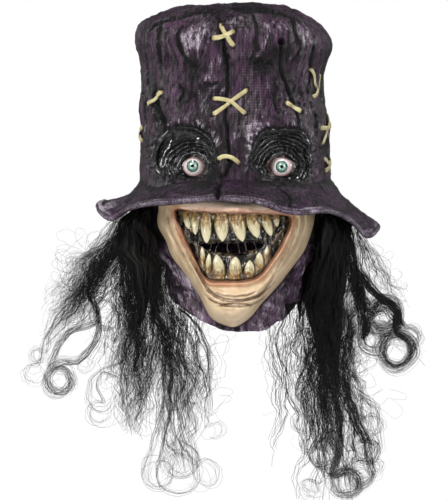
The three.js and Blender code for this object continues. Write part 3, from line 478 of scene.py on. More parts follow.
# %% Relief and skin of the hat
def hat_relief(turn, z, base):
    """Height of the relief, black wash with painted shade, and pale paint with painted highlights at each point.
    Height: lumps, long upright strokes, creases, pits and combed brows added up."""
    lumps = 2.1 * rough(base, 30, 3) + 1.5 * rough(base, 12, 5)
    aslant = base @ np.array(Matrix.Rotation(math.radians(16), 3, "Y"))
    strokes = 0.9 * rough(aslant, (2.9, 2.9, 13), 7) + 0.7 * ridges(aslant, (7, 7, 26), 9)
    knife = ridges(base, (9, 9, 17), 11) * step(0.0, 0.5, rough(base, 40, 12))
    crumbs = 0.32 * rough(base, 3.4, 13, 2)
    height = lumps + strokes + crumbs - 0.9 * knife
    wash_and_shade = 0.55 * step(0.0, 0.5, -rough(aslant, (3, 3, 11), 17)) + 0.4 * step(0.0, 0.6, rough(base, 22, 19))
    wash_and_shade = np.maximum(wash_and_shade, 0.75 * knife)
    wobble = 1.3 * rough(base, 9, 23)
    # Creases, pits and lace holes darken inside: partly wash of paint, partly painted shade in the hollow.
    for path, half, deep, lip in hat_creases:
        middle = np.mean([spot[0] for spot in path])
        drawn = [(gap(at, middle) * ARC, high) for at, high in path]
        far, place = path_distance(gap(turn, middle) * ARC + wobble, z + wobble, drawn)
        ends = step(-0.001, 0.12, place) * step(1.001, 0.88, place) * (1 + 0.45 * rough(base, 7, 29))
        height += ends * crease(far, half, deep, lip)
        wash_and_shade = np.maximum(wash_and_shade, ends * bell(far, 1.5 * half + 0.7))
    for at, high, radius, deep in hat_pits + [(at, high, 1.9, 1.6) for at, high in lace_ends]:
        far = np.hypot(gap(turn, at) * ARC, z - high) * (1 + 0.25 * rough(base, 3, 31))
        height += 0.22 * deep * bell(far - 1.7 * radius, 0.6 * radius) - deep * bell(far, radius, power=4)
        wash_and_shade = np.maximum(wash_and_shade, bell(far, 1.35 * radius, power=4))
    torn = bell(gap(turn, 16), 9, z - 80, 9)
    height += torn * (1.3 * ridges(base, (4, 4, 3.2), 37) - 1.5 * ridges(base, (5, 5, 3.6), 41))
    wash_and_shade = np.maximum(wash_and_shade, torn * ridges(base, (5, 5, 3.6), 41))
    uneven = 1 + 0.7 * rough(aslant, (5, 5, 12), 33)
    # Dark spots: smudges of wash, and painted shade where the sides turn away from the lamps.
    for smudge_and_shade in spots(turn, z, hat_smudges_and_shade):
        wash_and_shade = np.maximum(wash_and_shade, smudge_and_shade * uneven)
    pale = 0.3 + 0.6 * strokes + 0.3 * crumbs + 0.2 * lumps + 0.45 * rough(base, 18, 43)
    # The tones add a painted highlight on the lit upper left front and painted shade on the turned-away sides.
    pale += sum(spots(turn, z, hat_tones))
    front = np.cos(np.radians(turn)) > 0
    for side in ("left", "right"):
        clock, out = eye_field(base[..., 0], z, side)
        out = np.where(front, out, 9.0)
        beyond = (out - 1) * rim_reach(clock, side)
        upper = step(-0.35, 0.35, np.cos(clock) + 0.3)
        combed = rough(pack(clock * 30 + beyond * 0.12, beyond * 0.1, 0), (1.3, 1, 1), 47)
        band = bell(beyond - 7.0, 8.0) * upper * np.where(beyond > -2, 1, 0)
        height += 1.9 * band * combed + 1.3 * band
        pale += band * (1.7 * combed + 0.35)
        wash_and_shade = np.maximum(wash_and_shade, bell(np.maximum(beyond, 0), 2.2 + 3.5 * upper) * (out < 8))
        wash_and_shade = np.where(out < 1, 1.0, wash_and_shade)
    return height, np.clip(wash_and_shade, 0, 1), pale


def hat_skin(turn, up):
    """Crown with its relief, which stands out sideways on the wall and upwards on the top."""
    base = crown_base(turn, up)
    height, wash_and_shade, pale = hat_relief(turn, base[..., 2], base)
    lean = step(0.84, 0.99, up) * math.pi / 2
    away = direction(turn) * np.cos(lean)[..., None]
    away[..., 2] = np.sin(lean)
    return base + away * height[..., None], wash_and_shade, pale


def crown_turn(x, z):
    """Turn and share of the height at which the crown's front passes x, z."""
    up = (z - crown_foot) / crown_height
    left, right, *_ = table_at(up, crown_rows)
    half = np.where(x < 0, left, right)
    return np.degrees(np.arcsin(np.clip(x / (half * crown_width / 2), -0.999, 0.999))), up


def eye_centre(side):
    x = eye_x[side]
    y = crown_base(*(np.array(v) for v in crown_turn(x, eye_height)))[1]
    return np.array([x, y + eye_sink, eye_height])


print("eye centres:", eye_centre("left").round(1), eye_centre("right").round(1))

# %% [markdown]
# ## Paint
# Latex masks are painted in layers: a deep colour, a black wash that stays in the folds, then a nearly dry
# brush of a pale colour over the high spots, and gloss where the sculpt should look wet. The materials repeat
# that order. The black share and the pale share come with the mesh as numbers: the black also holds painted shade
# under the brim, in holes and creases and on the sides turned from the lamps, and the pale holds painted highlights.
# Brush marks, grain and cloth weave come from procedural textures in the object's own metres.

# %% Helpers for materials
class Paint:
    """A new material. Each method adds a node and returns the output that the next one takes."""

    def __init__(self, name):
        self.material = bpy.data.materials.new(name)
        self.material.use_nodes = True
        self.tree = self.material.node_tree
        self.shader = self.tree.nodes["Principled BSDF"]

    def math(self, operation, a, b=0.0, c=0.0):
        return add_node(self.tree, "Math", {0: a, 1: b, 2: c}, operation=operation)

    def ragged(self, value, noise, amount):
        """The value with an amount of noise round it."""
        return self.math("ADD", value, self.math("MULTIPLY_ADD", noise, amount, -amount / 2))

    def mix(self, share, a, b):
        """Blend of two colours, each an output or its red, green and blue."""
        a, b = ((*value, 1.0) if isinstance(value, tuple) else value for value in (a, b))
        return add_node(self.tree, "Mix", {0: share, 6: a, 7: b}, output=2, data_type="RGBA")

    def spread(self, value, low, high, to_low=0.0, to_high=1.0):
        """Smooth step between low and high, scaled to a new range."""
        inputs = {"Value": value, "From Min": low, "From Max": high, "To Min": to_low, "To Max": to_high}
        return add_node(self.tree, "MapRange", inputs, interpolation_type="SMOOTHSTEP")

    def noise(self, place, detail=4.0, roughness=0.6):
        inputs = {"Vector": place, "Scale": 1.0, "Detail": detail, "Roughness": roughness}
        return add_node(self.tree, "TexNoise", inputs)

    def grain(self, x, y, z, detail=4.0, roughness=0.6):
        """Noise on the object's own coordinates, scaled along each axis, in pattern cells a metre."""
        place = add_node(self.tree, "TexCoord", output="Object")
        place = add_node(self.tree, "Mapping", {"Vector": place, "Scale": (x, y, z)})
        return self.noise(place, detail, roughness)

    def number(self, name):
        """A number that the mesh keeps for each point."""
        return add_node(self.tree, "Attribute", output="Fac", attribute_name=name)

    def bump(self, height, strength, distance, normal=None):
        inputs = {"Height": height, "Strength": strength, "Distance": distance}
        if normal is not None:
            inputs["Normal"] = normal
        return add_node(self.tree, "Bump", inputs)

    def finish(self, tone, **sockets):
        """Gives the material, after its colour and other sockets of the shader are set from numbers or outputs."""
        for key, value in {"Base_Color": tone, **sockets}.items():
            socket = self.shader.inputs[key.replace("_", " ")]
            if isinstance(value, bpy.types.NodeSocket):
                self.tree.links.new(value, socket)
            else:
                socket.default_value = value
        return self.material


print("materials so far:", len(bpy.data.materials))

# %% Painted cloth-like latex of the hat and the cowl
def painted_latex(name, deep, body, grey, pale, weave, mottle):
    """Body colour beside deep and grey patches, stroked lighter and darker, pale dry brush and painted highlights
    on the pale share with its palest flecks painted as glints, black wash and painted shade over the dark share.
    A thin gloss over a duller coat gives the small glints."""
    paint = Paint(name)
    patches = paint.grain(21, 21, 15, 5, 0.62)
    smears = paint.grain(30, 30, 24, 4, 0.6)
    brush = paint.grain(520, 520, 130, 5, 0.72)
    drag = paint.grain(270, 270, 40, 4, 0.68)
    specks = paint.grain(900, 900, 900, 2, 0.5)
    tone = paint.mix(paint.spread(patches, 0.36, 0.58), deep, body)
    tone = paint.mix(paint.spread(smears, 0.5, 0.64, 0, mottle), tone, grey)
    bright = paint.spread(drag, 0.34, 0.68, 0.25, 2.1)
    tone = add_node(paint.tree, "VectorMath", {0: tone, 3: bright}, operation="SCALE")
    lift = paint.ragged(paint.number("pale"), brush, 3.0)
    tone = paint.mix(paint.spread(lift, 0.72, 1.9, 0.0, 0.9), tone, pale)
    # Painted highlight: the palest flecks on the high spots stand for glints.
    painted_glint = paint.ragged(lift, specks, 2.2)
    tone = paint.mix(paint.spread(painted_glint, 1.1, 1.9, 0.0, 0.9), tone, (0.48, 0.43, 0.49))
    skin_map = add_node(paint.tree, "UVMap", uv_map="skin")
    waves = {"Vector": skin_map, "Scale": 1.05, "Distortion": 1.6, "Detail Scale": 1.5}
    along, across = (
        add_node(paint.tree, "TexWave", waves, wave_type="BANDS", bands_direction=way, wave_profile="SIN", output=1)
        for way in ("X", "Y")
    )
    woven = paint.math("MULTIPLY", paint.math("MULTIPLY", along, across), paint.number("weave"))
    # Black over the dark share: partly a wash of paint, partly painted shade in creases, holes, under the brim and on
    # the sides turned from the lamps.
    wash_shade_and_sheen = paint.ragged(paint.number("wash_and_shade"), brush, 1.9)
    wash_shade_and_sheen = paint.math("MULTIPLY_ADD", woven, weave, wash_shade_and_sheen)
    tone = paint.mix(paint.spread(wash_shade_and_sheen, 0.16, 0.68), tone, (0.0028, 0.0025, 0.0028))
    normal = paint.bump(woven, weave, 0.0011)
    for height, strength, distance in ((drag, 0.6, 0.003), (brush, 1.0, 0.0024), (specks, 0.55, 0.0007)):
        normal = paint.bump(height, strength, distance, normal)
    rough_share = paint.spread(drag, 0.35, 0.65, 0.62, 0.42)
    return paint.finish(tone, Roughness=rough_share, Specular_IOR_Level=0.05, Coat_Weight=0.34,
                        Coat_Roughness=0.09, Normal=normal, Coat_Normal=normal)


crown_paint = painted_latex("crown_paint", (0.009, 0.0055, 0.008), (0.036, 0.0155, 0.0345), (0.048, 0.04, 0.042),
                            (0.27, 0.225, 0.275), 0.6, 0.7)
brim_paint = painted_latex("brim_paint", (0.008, 0.005, 0.008), (0.03, 0.0135, 0.031), (0.03, 0.025, 0.028),
                           (0.22, 0.165, 0.235), 0.4, 0.45)
wrap_paint = painted_latex("wrap_paint", (0.024, 0.013, 0.024), (0.08, 0.046, 0.078), (0.11, 0.093, 0.105),
                           (0.5, 0.42, 0.5), 0.0, 0.35)
print("painted latex:", [m.name for m in (crown_paint, brim_paint, wrap_paint)])

# %% [markdown]
# ## Crown
# The crown is a grid of turn and height, with its columns closest at the front, where the photograph shows it.
# Its rows are evenly spaced along the profile, so the domed top is as fine as the wall. Inside the hollows
# of the eyes the cells are left out, because the lids there are pieces of their own.

# %% Crown of the hat
def front_turns(front_count, back_count, limit):
    """Turns round the head, close between minus and plus limit and closest at the front, wider behind."""
    even = np.linspace(-1, 1, front_count)
    front = limit * (0.78 * even + 0.22 * even**3)
    back = np.linspace(limit, 360 - limit, back_count + 2)[1:-1]
    return np.concatenate([front, back])


def even_rows(count):
    """Shares of the crown's height at equal steps along its profile."""
    fine = np.linspace(0, 1, 3000)
    radius = curve(fine, crown_rows[:, 0], crown_rows[:, 3]) * crown_depth / 2
    length = np.concatenate([[0], np.cumsum(np.hypot(np.diff(radius), np.diff(fine) * crown_height))])
    return np.interp(np.linspace(0, length[-1], count + 1)[:-1], length, fine)


turns = front_turns(256, 52, 84)
ups = even_rows(180)
turn_grid, up_grid = np.meshgrid(turns, ups)
crown_points, crown_wash_and_shade, crown_pale = hat_skin(turn_grid, up_grid)
crown_map = pack(turn_grid * ARC, up_grid * crown_height) * 0.1
weave_share = 0.25 + 0.75 * bell(gap(turn_grid, 12), 26, up_grid - 0.56, 0.17)
peak = np.array([[0, 0, crown_points[-1, :, 2].mean()]])
rows, columns = turn_grid.shape
cap = fan((rows - 1) * columns, columns, rows * columns)
cells = grid_faces(rows, columns)
inside = np.zeros(rows * columns, bool)
for side in ("left", "right"):
    out = eye_field(crown_points[..., 0], crown_points[..., 2], side)[1].ravel()
    inside |= (out < 0.9) & (crown_points[..., 1].ravel() < 0)
cells = cells[~inside[cells].all(axis=1)]


def with_peak(grid, value):
    return np.concatenate([np.ravel(grid), [value]])


make_piece(
    "hat_crown_skin", np.concatenate([crown_points.reshape(-1, 3), peak]), [cells, cap], crown_paint,
    ["hat_crown"],
    {"wash_and_shade": with_peak(crown_wash_and_shade, 0.3), "pale": with_peak(crown_pale, 0.3), "weave": with_peak(weave_share, 0.2)},
    np.concatenate([crown_map.reshape(-1, 2), [[0, crown_height * 0.1]]]),
)

# %% [markdown]
# Inside, the hat is bare: the back of the latex, dull and slightly uneven. It is a second, coarser skin
# one wall's thickness further in, seen only from below through the neck.

# %% Inside of the hat
def raw_latex():
    """Unpainted rubber: warm grey brown, mottled, with a faint pebble."""
    paint = Paint("raw_latex")
    clouds = paint.spread(paint.grain(30, 30, 30), 0.35, 0.65)
    tone = paint.mix(clouds, (0.07, 0.055, 0.045), (0.13, 0.1, 0.08))
    pebbles = paint.bump(paint.grain(500, 500, 500, 3), 0.35, 0.0006)
    return paint.finish(tone, Roughness=0.62, Normal=pebbles)


wall, lining_inset, socket_room = 2.5, 4.5, 13
lining_grid, lining_up = np.meshgrid(np.linspace(-180, 180, 100, endpoint=False), even_rows(44))
lining_base = crown_base(lining_grid, lining_up)
shrink = 1 - wall / 110
lining_points = lining_base * [shrink, shrink, 1] - direction(lining_grid) * lining_inset
lining_points[..., 2] -= 2 * wall * step(0.86, 0.99, lining_up)
lining_points[..., 1] += socket_room * sum(
    step(1.05, 0.7, eye_field(lining_base[..., 0], lining_base[..., 2], side)[1]) * (lining_base[..., 1] < 0)
    for side in ("left", "right")
)
rows, columns = lining_grid.shape
cap = fan((rows - 1) * columns, columns, rows * columns, turned=True)
make_piece("hat_inside", np.concatenate([lining_points.reshape(-1, 3), [[0, 0, crown_top - 2 * wall - 1]]]),
           [grid_faces(rows, columns)[:, ::-1], cap], raw_latex())

# %% [markdown]
# ## Lids and hollows of the eyes
# Round each eye lie arched black folds, wet like tar. They follow the hollow's own outline, so the
# piece is a grid of spokes and distance: the folds are then a wave of the distance alone, bent a little by a
# random field, and strongest above the eye. A pale line painted on the upper side of each fold stands for its
# highlight. The innermost row hugs the eyeball as a raw pink lid edge.

# %% Black wet folds round the eyes
def wet_black(name, drop_depth, coat, crest_paint_and_highlight):
    """Near black, lighter on crests under a clear wet coat: painted highlight lines on the eye folds, partly brown
    paint and partly painted wet reflection on the gums.
    """
    paint = Paint(name)
    streaks = paint.grain(260, 260, 260)
    crest = paint.ragged(paint.number("pale"), streaks, 0.8)
    tone = paint.mix(paint.spread(crest, 0.4, 1.35), (0.0022, 0.002, 0.0022), crest_paint_and_highlight)
    tone = paint.mix(paint.number("pink"), tone, (0.3, 0.14, 0.14))
    drops = paint.bump(paint.grain(210, 210, 210, 2), drop_depth, 0.002)
    return paint.finish(tone, Roughness=paint.spread(streaks, 0.3, 0.7, 0.2, 0.42), Specular_IOR_Level=0.3,
                        Coat_Weight=coat, Coat_Roughness=0.07, Normal=drops)


hug_width = 3.4
lid_profile = [(0, 0.72), (0.1, 0.5), (0.3, 0.86), (0.52, 0.6), (0.74, 0.45), (0.9, 0.2), (1.0, -0.02), (1.04, 0.03)]


def socket_piece(side, columns=180, rows=80):
    """Spokes from the lid to just past the rim. Depth behind the hat's skin: a table of broad hollows, less arched
    folds whose wave runs with the distance, deeper valleys than crests."""
    clock, out = np.meshgrid(around(columns), np.linspace(0, 1.04, rows))
    lid = lid_reach(clock, side)
    far = lid + (rim_reach(clock, side) - lid) * out
    x, z = eye_x[side] + np.sin(clock) * far, eye_height + np.cos(clock) * far
    turn, up = crown_turn(x, z)
    skin = hat_skin(turn, up)[0]
    broad = curve(out, *np.transpose(lid_profile)) * socket_depth
    spot = pack(x, z, 0)
    bend = 1.3 * rough(spot, (17, 12, 1), 53, 2)
    upper = step(-0.6, 0.4, np.cos(clock))
    across = far - lid
    pitch = 4.4 + 0.8 * rough(spot, 30, 57)
    wave = across / pitch + 0.3 + 0.55 * bend
    folds = (2 * np.abs(np.sin(np.pi * wave)) ** 1.3 - 1.0) * (0.3 + 0.7 * upper)
    kept = step(0.02, 0.1, out) * step(1.0, 0.9, out)
    if side == "left":
        kept *= 1 - step(0.5, 0.75, out) * step(0.5, 0.0, np.sin(clock)) * upper
    folds *= kept
    height = 1.9 * folds + 0.12 * rough(spot, 5, 61)
    centre = eye_centre(side)
    ball = centre[1] - np.sqrt(np.maximum((eye_diameter / 2) ** 2 - np.minimum(far, 13.2) ** 2, 0))
    points = pack(skin[..., 0], skin[..., 1] + broad - height, skin[..., 2])
    hug = step(hug_width, 0.0, across)
    points[..., 1] += hug * (ball - 1.1 - 0.9 * np.sin(np.pi * np.clip(across / hug_width, 0, 1)) - points[..., 1])
    points[..., 0] += hug * (x - points[..., 0])
    points[..., 2] += hug * (z - points[..., 2])
    pink = step(1.2, 0.2, across)
    # Painted highlight: a pale line on the upper side of each fold's crest, strongest above the eye.
    lit = bell((wave % 1) - 0.6, 0.1) * (0.35 + 0.65 * upper) * kept
    crest = 0.05 + 0.2 * folds + lit * (0.65 + 1.3 * rough(pack(clock * 14, across, 0), (1.6, 3, 1), 67))
    paint = wet_black(f"wet_folds_{side}", 0.04, 0.7, (0.125, 0.115, 0.125))
    make_piece(f"eye_folds_{side}", points, None, paint, [f"eye_socket_{side}"],
               {"pale": crest, "pink": pink})


for side in ("left", "right"):
    socket_piece(side)

# %% [markdown]
# ## Eyes
# The eyeballs are hard and glossy. Each is a ball with its pole towards the viewer, so rings and spokes lie
# where the iris needs them; the cornea is a second, smaller bulge on the same surface. The iris is painted
# by distance from the pole: black pupil, teal fibres, dark edge, then a white that reddens towards the lids.

# %% Eyeballs
iris_radius, pupil_radius = 6.7, 1.9
gaze = {"left": (-0.7, 0.9), "right": (0.4, 0.0)}


def eye_paint():
    """Black pupil, teal fibres paler inside, dark ring, then a white that reddens outwards, with veins."""
    paint = Paint("glass_eye")
    clock = add_node(paint.tree, "SeparateXYZ", {0: add_node(paint.tree, "UVMap", uv_map="skin")})
    radius = clock.node.outputs[1]
    spot = {0: paint.math("MULTIPLY", clock, 8.0), 1: paint.math("MULTIPLY", radius, 0.5)}
    fibres = paint.noise(add_node(paint.tree, "CombineXYZ", spot), 3)
    flecks = paint.grain(420, 420, 420, 2)
    teal = paint.mix(paint.spread(fibres, 0.42, 0.6), (0.008, 0.05, 0.042), (0.25, 0.46, 0.39))
    teal = paint.mix(paint.spread(radius, 2.0, 4.2, 0.55, 0.0), teal, (0.36, 0.44, 0.3))
    ring = paint.spread(paint.math("MULTIPLY_ADD", fibres, 0.8, radius), 5.3, 6.7)
    teal = paint.mix(ring, teal, (0.006, 0.022, 0.022))
    reach = paint.math("ADD", radius, paint.math("MULTIPLY", flecks, 3.0))
    white = paint.mix(paint.spread(reach, 10.8, 14.6), (0.56, 0.53, 0.515), (0.58, 0.33, 0.3))
    veins = paint.spread(paint.grain(330, 330, 330, 5, 0.7), 0.56, 0.62, 0.0, 0.5)
    white = paint.mix(veins, white, (0.5, 0.12, 0.1))
    tone = paint.mix(paint.spread(radius, iris_radius - 0.15, iris_radius + 0.3), teal, white)
    pupil = paint.spread(radius, pupil_radius - 0.2, pupil_radius + 0.25, 1.0, 0.0)
    tone = paint.mix(pupil, tone, (0.002, 0.002, 0.002))
    return paint.finish(tone, Roughness=0.12, Coat_Weight=1.0, Coat_Roughness=0.02)


def eyeball_piece(side, material, columns=72, rows=56):
    """Ball with its pole turned to the gaze. Radius: the ball's, plus a bell-shaped cornea round the pole."""
    centre = eye_centre(side)
    clock, tilt = np.meshgrid(around(columns),
                              np.pi * (np.arange(1, rows) / rows) ** 1.25)
    radius = eye_diameter / 2
    from_pole = np.sin(np.minimum(tilt, np.pi / 2)) * radius
    swell = radius + 0.8 * bell(from_pole, 5.2, power=4) - 0.25
    local = pack(np.sin(clock) * np.sin(tilt), -np.cos(tilt), np.cos(clock) * np.sin(tilt))
    poles = np.array([[0, -(radius + 0.55), 0], [0, radius - 0.25, 0]])
    cloud = np.concatenate([(local * swell[..., None]).reshape(-1, 3), poles])
    aside, above = gaze[side]
    turn = Matrix.Rotation(aside / radius, 3, "Z") @ Matrix.Rotation(-above / radius, 3, "X")
    cloud = cloud @ np.array(turn).T + centre
    many = (rows - 1) * columns
    caps = [fan(0, columns, many, turned=True), fan(many - columns, columns, many + 1)]
    measured = pack(clock, np.where(tilt < np.pi / 2, from_pole, 2 * radius - from_pole))
    places = np.concatenate([measured.reshape(-1, 2), [[0, 0], [0, 2 * radius]]])
    make_piece(f"eyeball_{side}", cloud, [grid_faces(rows - 1, columns), *caps], material,
               [f"eye_{side}"], map_points=places)


glass_eye = eye_paint()
for side in ("left", "right"):
    eyeball_piece(side, glass_eye)

# %% [markdown]
# ## Brim
# The brim grows out of the crown in a soft hollow curve, droops unevenly and ends in a thick rolled edge, lavender
# from the dry brush and a painted highlight, with its underside painted dark as shade. Its section is one profile,
# carried round the head: up from the edge to the crown on top, back underneath, with a round lip between. The seam runs
# on down its front.

# %% Brim of the hat
brim_reach, brim_fall, brim_thick, brim_joint = 45, 30, 3.5, -50
brim_rows = np.array([
    # turn, reach, edge, seat, sweep
    (-180, 0.98, 1.12, 0.3, 0.2), (-120, 1.0, 0.95, 0.4, 0.5), (-90, 1.02, 0.98, 0.42, 0.8),
    (-76, 1.02, 1.2, 0.4, 0.6), (-62, 1.02, 1.36, 0.34, 0.3), (-48, 1.0, 0.92, 0.22, 0.2),
    (-28, 0.98, 0.7, 0.06, 0.1), (0, 1.0, 0.57, 0, 0), (11, 1.0, 0.72, 0, 0), (20, 1.0, 1, 0.03, 0.1),
    (45, 1.02, 1.1, 0.12, 0.1), (56, 1.02, 1.45, 0.2, 0.1), (68, 1.04, 2, 0.26, 0),
    (90, 1.18, 1.78, 0.3, 0), (130, 1.02, 1.3, 0.36, 0.2),
])
brim_creases = [
    # turn and share of the reach along each path, half width, depth, lip
    ([(-10.8, -0.25), (-9.5, 0.1), (-7.2, 0.3), (-8.8, 0.5), (-6.9, 0.72), (-7.8, 0.9), (-6.6, 1.1)], 2.0, 4.6, 1.2),
    ([(58, -0.1), (57, 0.3), (61, 0.62), (63, 0.9)], 1.6, 2.4, 1.0),
    ([(-74, 0.1), (-70, 0.45), (-73, 0.8)], 2.2, 2.0, 0.9),
    ([(-30, 0.2), (-36, 0.5), (-34, 0.86)], 1.4, 0.9, 0.6),
    ([(24, 0.15), (27, 0.5), (24, 0.84)], 1.3, 0.9, 0.6),
    ([(140, 0), (146, 0.5), (141, 1.0)], 1.8, 2.2, 0.9),
    ([(-140, 0), (-146, 0.5), (-142, 1.0)], 1.8, 2.2, 0.9),
    ([(179, -0.1), (175, 0.4), (178, 1.1)], 1.2, 2.6, 0.9),
    ([(100, 0), (96, 0.5), (101, 1.0)], 1.8, 1.8, 0.9),
    ([(-104, 0), (-98, 0.5), (-102, 1.0)], 1.8, 1.8, 0.9),
]


print("creases on the brim:", len(brim_creases))

# %% Shape and relief of the brim
def side_share(turn):
    """How far the soft curve between crown and brim may climb: little under the eyes, all of it at the sides."""
    return 0.12 + 0.88 * step(48, 76, np.abs(gap(turn, 0)))


def brim_point(turn, share):
    """Middle of the brim's top at a share of its reach: outwards evenly, down by the table's fall and sweep.
    Below nought the point climbs the crown, so the two flow together."""
    at = gap(turn, 0)
    reach, edge, seat, sweep = table_at(at, brim_rows, 360)
    joint = brim_joint - seat * brim_fall
    out = np.maximum(share, 0)
    climb = np.maximum(-share, 0) * brim_reach * side_share(turn)
    start = crown_base(turn, (joint + climb - crown_foot) / crown_height)
    fall = out + sweep * out * (1 - out)
    point = start + direction(turn) * (0.45 + reach * brim_reach * out)[..., None]
    point[..., 2] = joint + climb + (brim_joint - edge * brim_fall - joint) * fall
    return point


def brim_relief(turn, share, point):
    """Height, black share and pale share on the brim: strokes along its reach, creases and a proud rolled edge.
    Painted shade darkens it next to the crown; the rolled edge is pale from dry brush and a painted highlight.
    """
    along, away = turn * ARC * 1.25, share * brim_reach
    spot = pack(along, away, 0)
    strokes = 0.6 * rough(spot, (11, 3, 1), 71) + 0.45 * ridges(spot, (26, 7, 1), 73)
    lumps = 1.2 * rough(point, 24, 75) + 0.9 * rough(point, 9, 77)
    height = strokes + lumps + 0.3 * rough(point, 3, 79, 2)
    # The first term is wash along the strokes; the second is painted shade where the brim meets the crown.
    wash_and_shade = 0.7 * step(0.0, 0.5, -rough(spot, (16, 6, 1), 81)) + 0.55 * step(0.35, -0.1, share)
    wash_and_shade = np.maximum(wash_and_shade, 0.9 * bell(gap(turn, -17), 9, share - 0.2, 0.35))
    wash_and_shade = np.maximum(wash_and_shade, 0.5 * step(0.1, 0.6, rough(point, 30, 82)))
    wobble, cut = 0.8 * rough(point, 8, 83), 0 * share
    for path, half, deep, lip in brim_creases:
        drawn = [(gap(at, path[0][0]) * ARC * 1.25, out * brim_reach) for at, out in path]
        far, _ = path_distance(gap(turn, path[0][0]) * ARC * 1.25 + wobble, away, drawn)
        height += crease(far, half, deep, lip, wide=1.2)
        cut = np.maximum(cut, bell(far, 1.5 * half + 0.5))
    rolled = bell(share - 0.965, 0.05)
    pitted = bell(gap(turn, -82), 12, share - 0.85, 0.3)
    height += 1.2 * rolled - 1.4 * pitted * ridges(point, 5, 85)
    # Pale on the rolled edge: dry brush and a painted highlight.
    pale = 0.25 + 0.6 * strokes + 0.25 * lumps + 1.15 * rolled * (0.75 + 0.5 * rough(point, 12, 87)) + 0.8 * pitted
    pale += 0.5 * bell(gap(turn, -88), 14) + 0.25 * bell(gap(turn, 33), 9)
    return height, np.clip(np.maximum(wash_and_shade * (1 - 0.8 * rolled), cut), 0, 1), pale


print("brim's edge in front:", brim_point(np.array(0.0), np.array(1.0)).round(1))

# %% Skin of the brim
def brim_piece(front_count=260, back_count=100, top_rows=44, edge_rows=8, under_rows=14):
    turns = front_turns(front_count, back_count, 95)
    top = np.linspace(-0.3, 1, top_rows)[::-1]
    under = np.linspace(0.02, 1, under_rows)
    turn_top, share_top = np.meshgrid(turns, top)
    skin = brim_point(turn_top, share_top)
    height, wash_and_shade, pale = brim_relief(turn_top, share_top, skin)
    slope = np.arctan2(skin[-1, :, 2] - skin[0, :, 2], brim_reach)
    lean = np.cos(slope) * step(-0.28, 0.12, share_top)
    away = direction(turn_top) * np.sqrt(1 - lean**2)[..., None]
    away[..., 2] = lean
    hollow = 4.2 * side_share(turn_top) * bell(share_top - 0.02, 0.15)
    hollow -= 1.4 * step(-0.16, -0.3, share_top)
    skin = skin + away * (height * step(-0.3, -0.15, share_top) + hollow)[..., None]
    turn_under, share_under = np.meshgrid(turns, under)
    below = brim_point(turn_under, share_under) - [0, 0, brim_thick + 1.0]
    below[..., 2] += 0.7 * rough(below, 10, 89) - 0.8 * step(0.85, 1, share_under)
    bend, turn_edge = np.meshgrid(np.pi * (np.arange(1, edge_rows + 1) / (edge_rows + 1)), turns, indexing="ij")
    high, low = skin[0], below[-1]
    middle, half = (high + low) / 2, np.linalg.norm(high - low, axis=-1) / 2
    lift = (high - low) / (2 * half[..., None])
    edge = middle + lift * (half * np.cos(bend))[..., None]
    edge += direction(turn_edge) * (1.15 * half * np.sin(bend))[..., None]
    grid = np.concatenate([below, edge[::-1], skin])
    mark = np.sin(bend[::-1])
    # The underside is painted dark as shade under the brim; the rolled edge takes a painted highlight.
    wash_and_shade_rows = np.concatenate([np.full(below.shape[:2], 0.75), 0.15 * mark + 0.1, wash_and_shade])
    pales = np.concatenate([np.full(below.shape[:2], 0.2), 0.7 + 0.5 * mark + 0.5 * rough(edge[::-1], 10, 91), pale])
    rows, columns = grid.shape[:2]
    places = np.stack(np.meshgrid(turns * ARC, np.arange(rows) * 1.1), axis=-1) * 0.1
    make_piece("hat_brim_skin", grid, None, brim_paint, ["hat_brim"],
               {"wash_and_shade": wash_and_shade_rows, "pale": pales, "weave": np.full((rows, columns), 0.4)}, places)


brim_piece()

# %% [markdown]
# ## Cowl
# Under the brim a wrinkled cowl closes round the back of the head and the neck. In the photograph it shows beside the
# chin, paler and more lilac than the hat, with deep soft folds. It is a grid of turn and share of the
# way down, with wrinkles from crests of a random field that run aslant, and it stays open behind the face.

# %% Wall of the cowl
wrap_foot, hem_rise, hem_low_turn, wrap_fold = -222, 34, 8, 2.4
wrap_top = crown_foot - 0.3
wrap_rows = np.array([
    # down, side, front, back, fold
    (0, 1.0, 1.0, 1.0, 0), (0.12, 0.955, 0.965, 0.975, 0.4), (0.28, 0.915, 0.93, 0.945, -1),
    (0.42, 0.87, 0.89, 0.9, 1), (0.56, 0.815, 0.83, 0.85, -1), (0.7, 0.755, 0.76, 0.8, 1),
    (0.85, 0.705, 0.7, 0.76, -0.8), (1, 0.68, 0.68, 0.75, 0.6),
])


def hem_height(turn):
    return wrap_foot + hem_rise * np.sin(np.radians(turn - hem_low_turn)) ** 2


def wrap_point(turn, down):
    """Oval of the wrap, narrower towards its hem, with a slow ripple."""
    side, front, back, fold = table_at(down, wrap_rows)
    ripple = fold * wrap_fold * np.sin(np.radians(2 * turn + 60))
    half = side * crown_width / 2 + ripple
    z = wrap_top + (hem_height(turn) - wrap_top) * down
    return oval(turn, half, half, front * crown_depth / 2, back * crown_depth / 2 + ripple, z)


def wrap_at(turn, z):
    """Point of the wrap at a turn and a height, also below its hem."""
    point = wrap_point(turn, (z - wrap_top) / (hem_height(turn) - wrap_top))
    point[..., 2] = z
    return point


print("wrap at the shoulders:", wrap_at(np.array([90.0]), np.array([-150.0])).round(1))

# %% [markdown]
# ## Face
# The lower face is a second set of spokes, from the lips out to the edge where the skin meets the cowl. The
# lips stand on a muzzle, a taller oval in front of the wrap. Folds run parallel to the grin, so they
# too follow the spokes; the creases that don't are drawn as paths over the front.

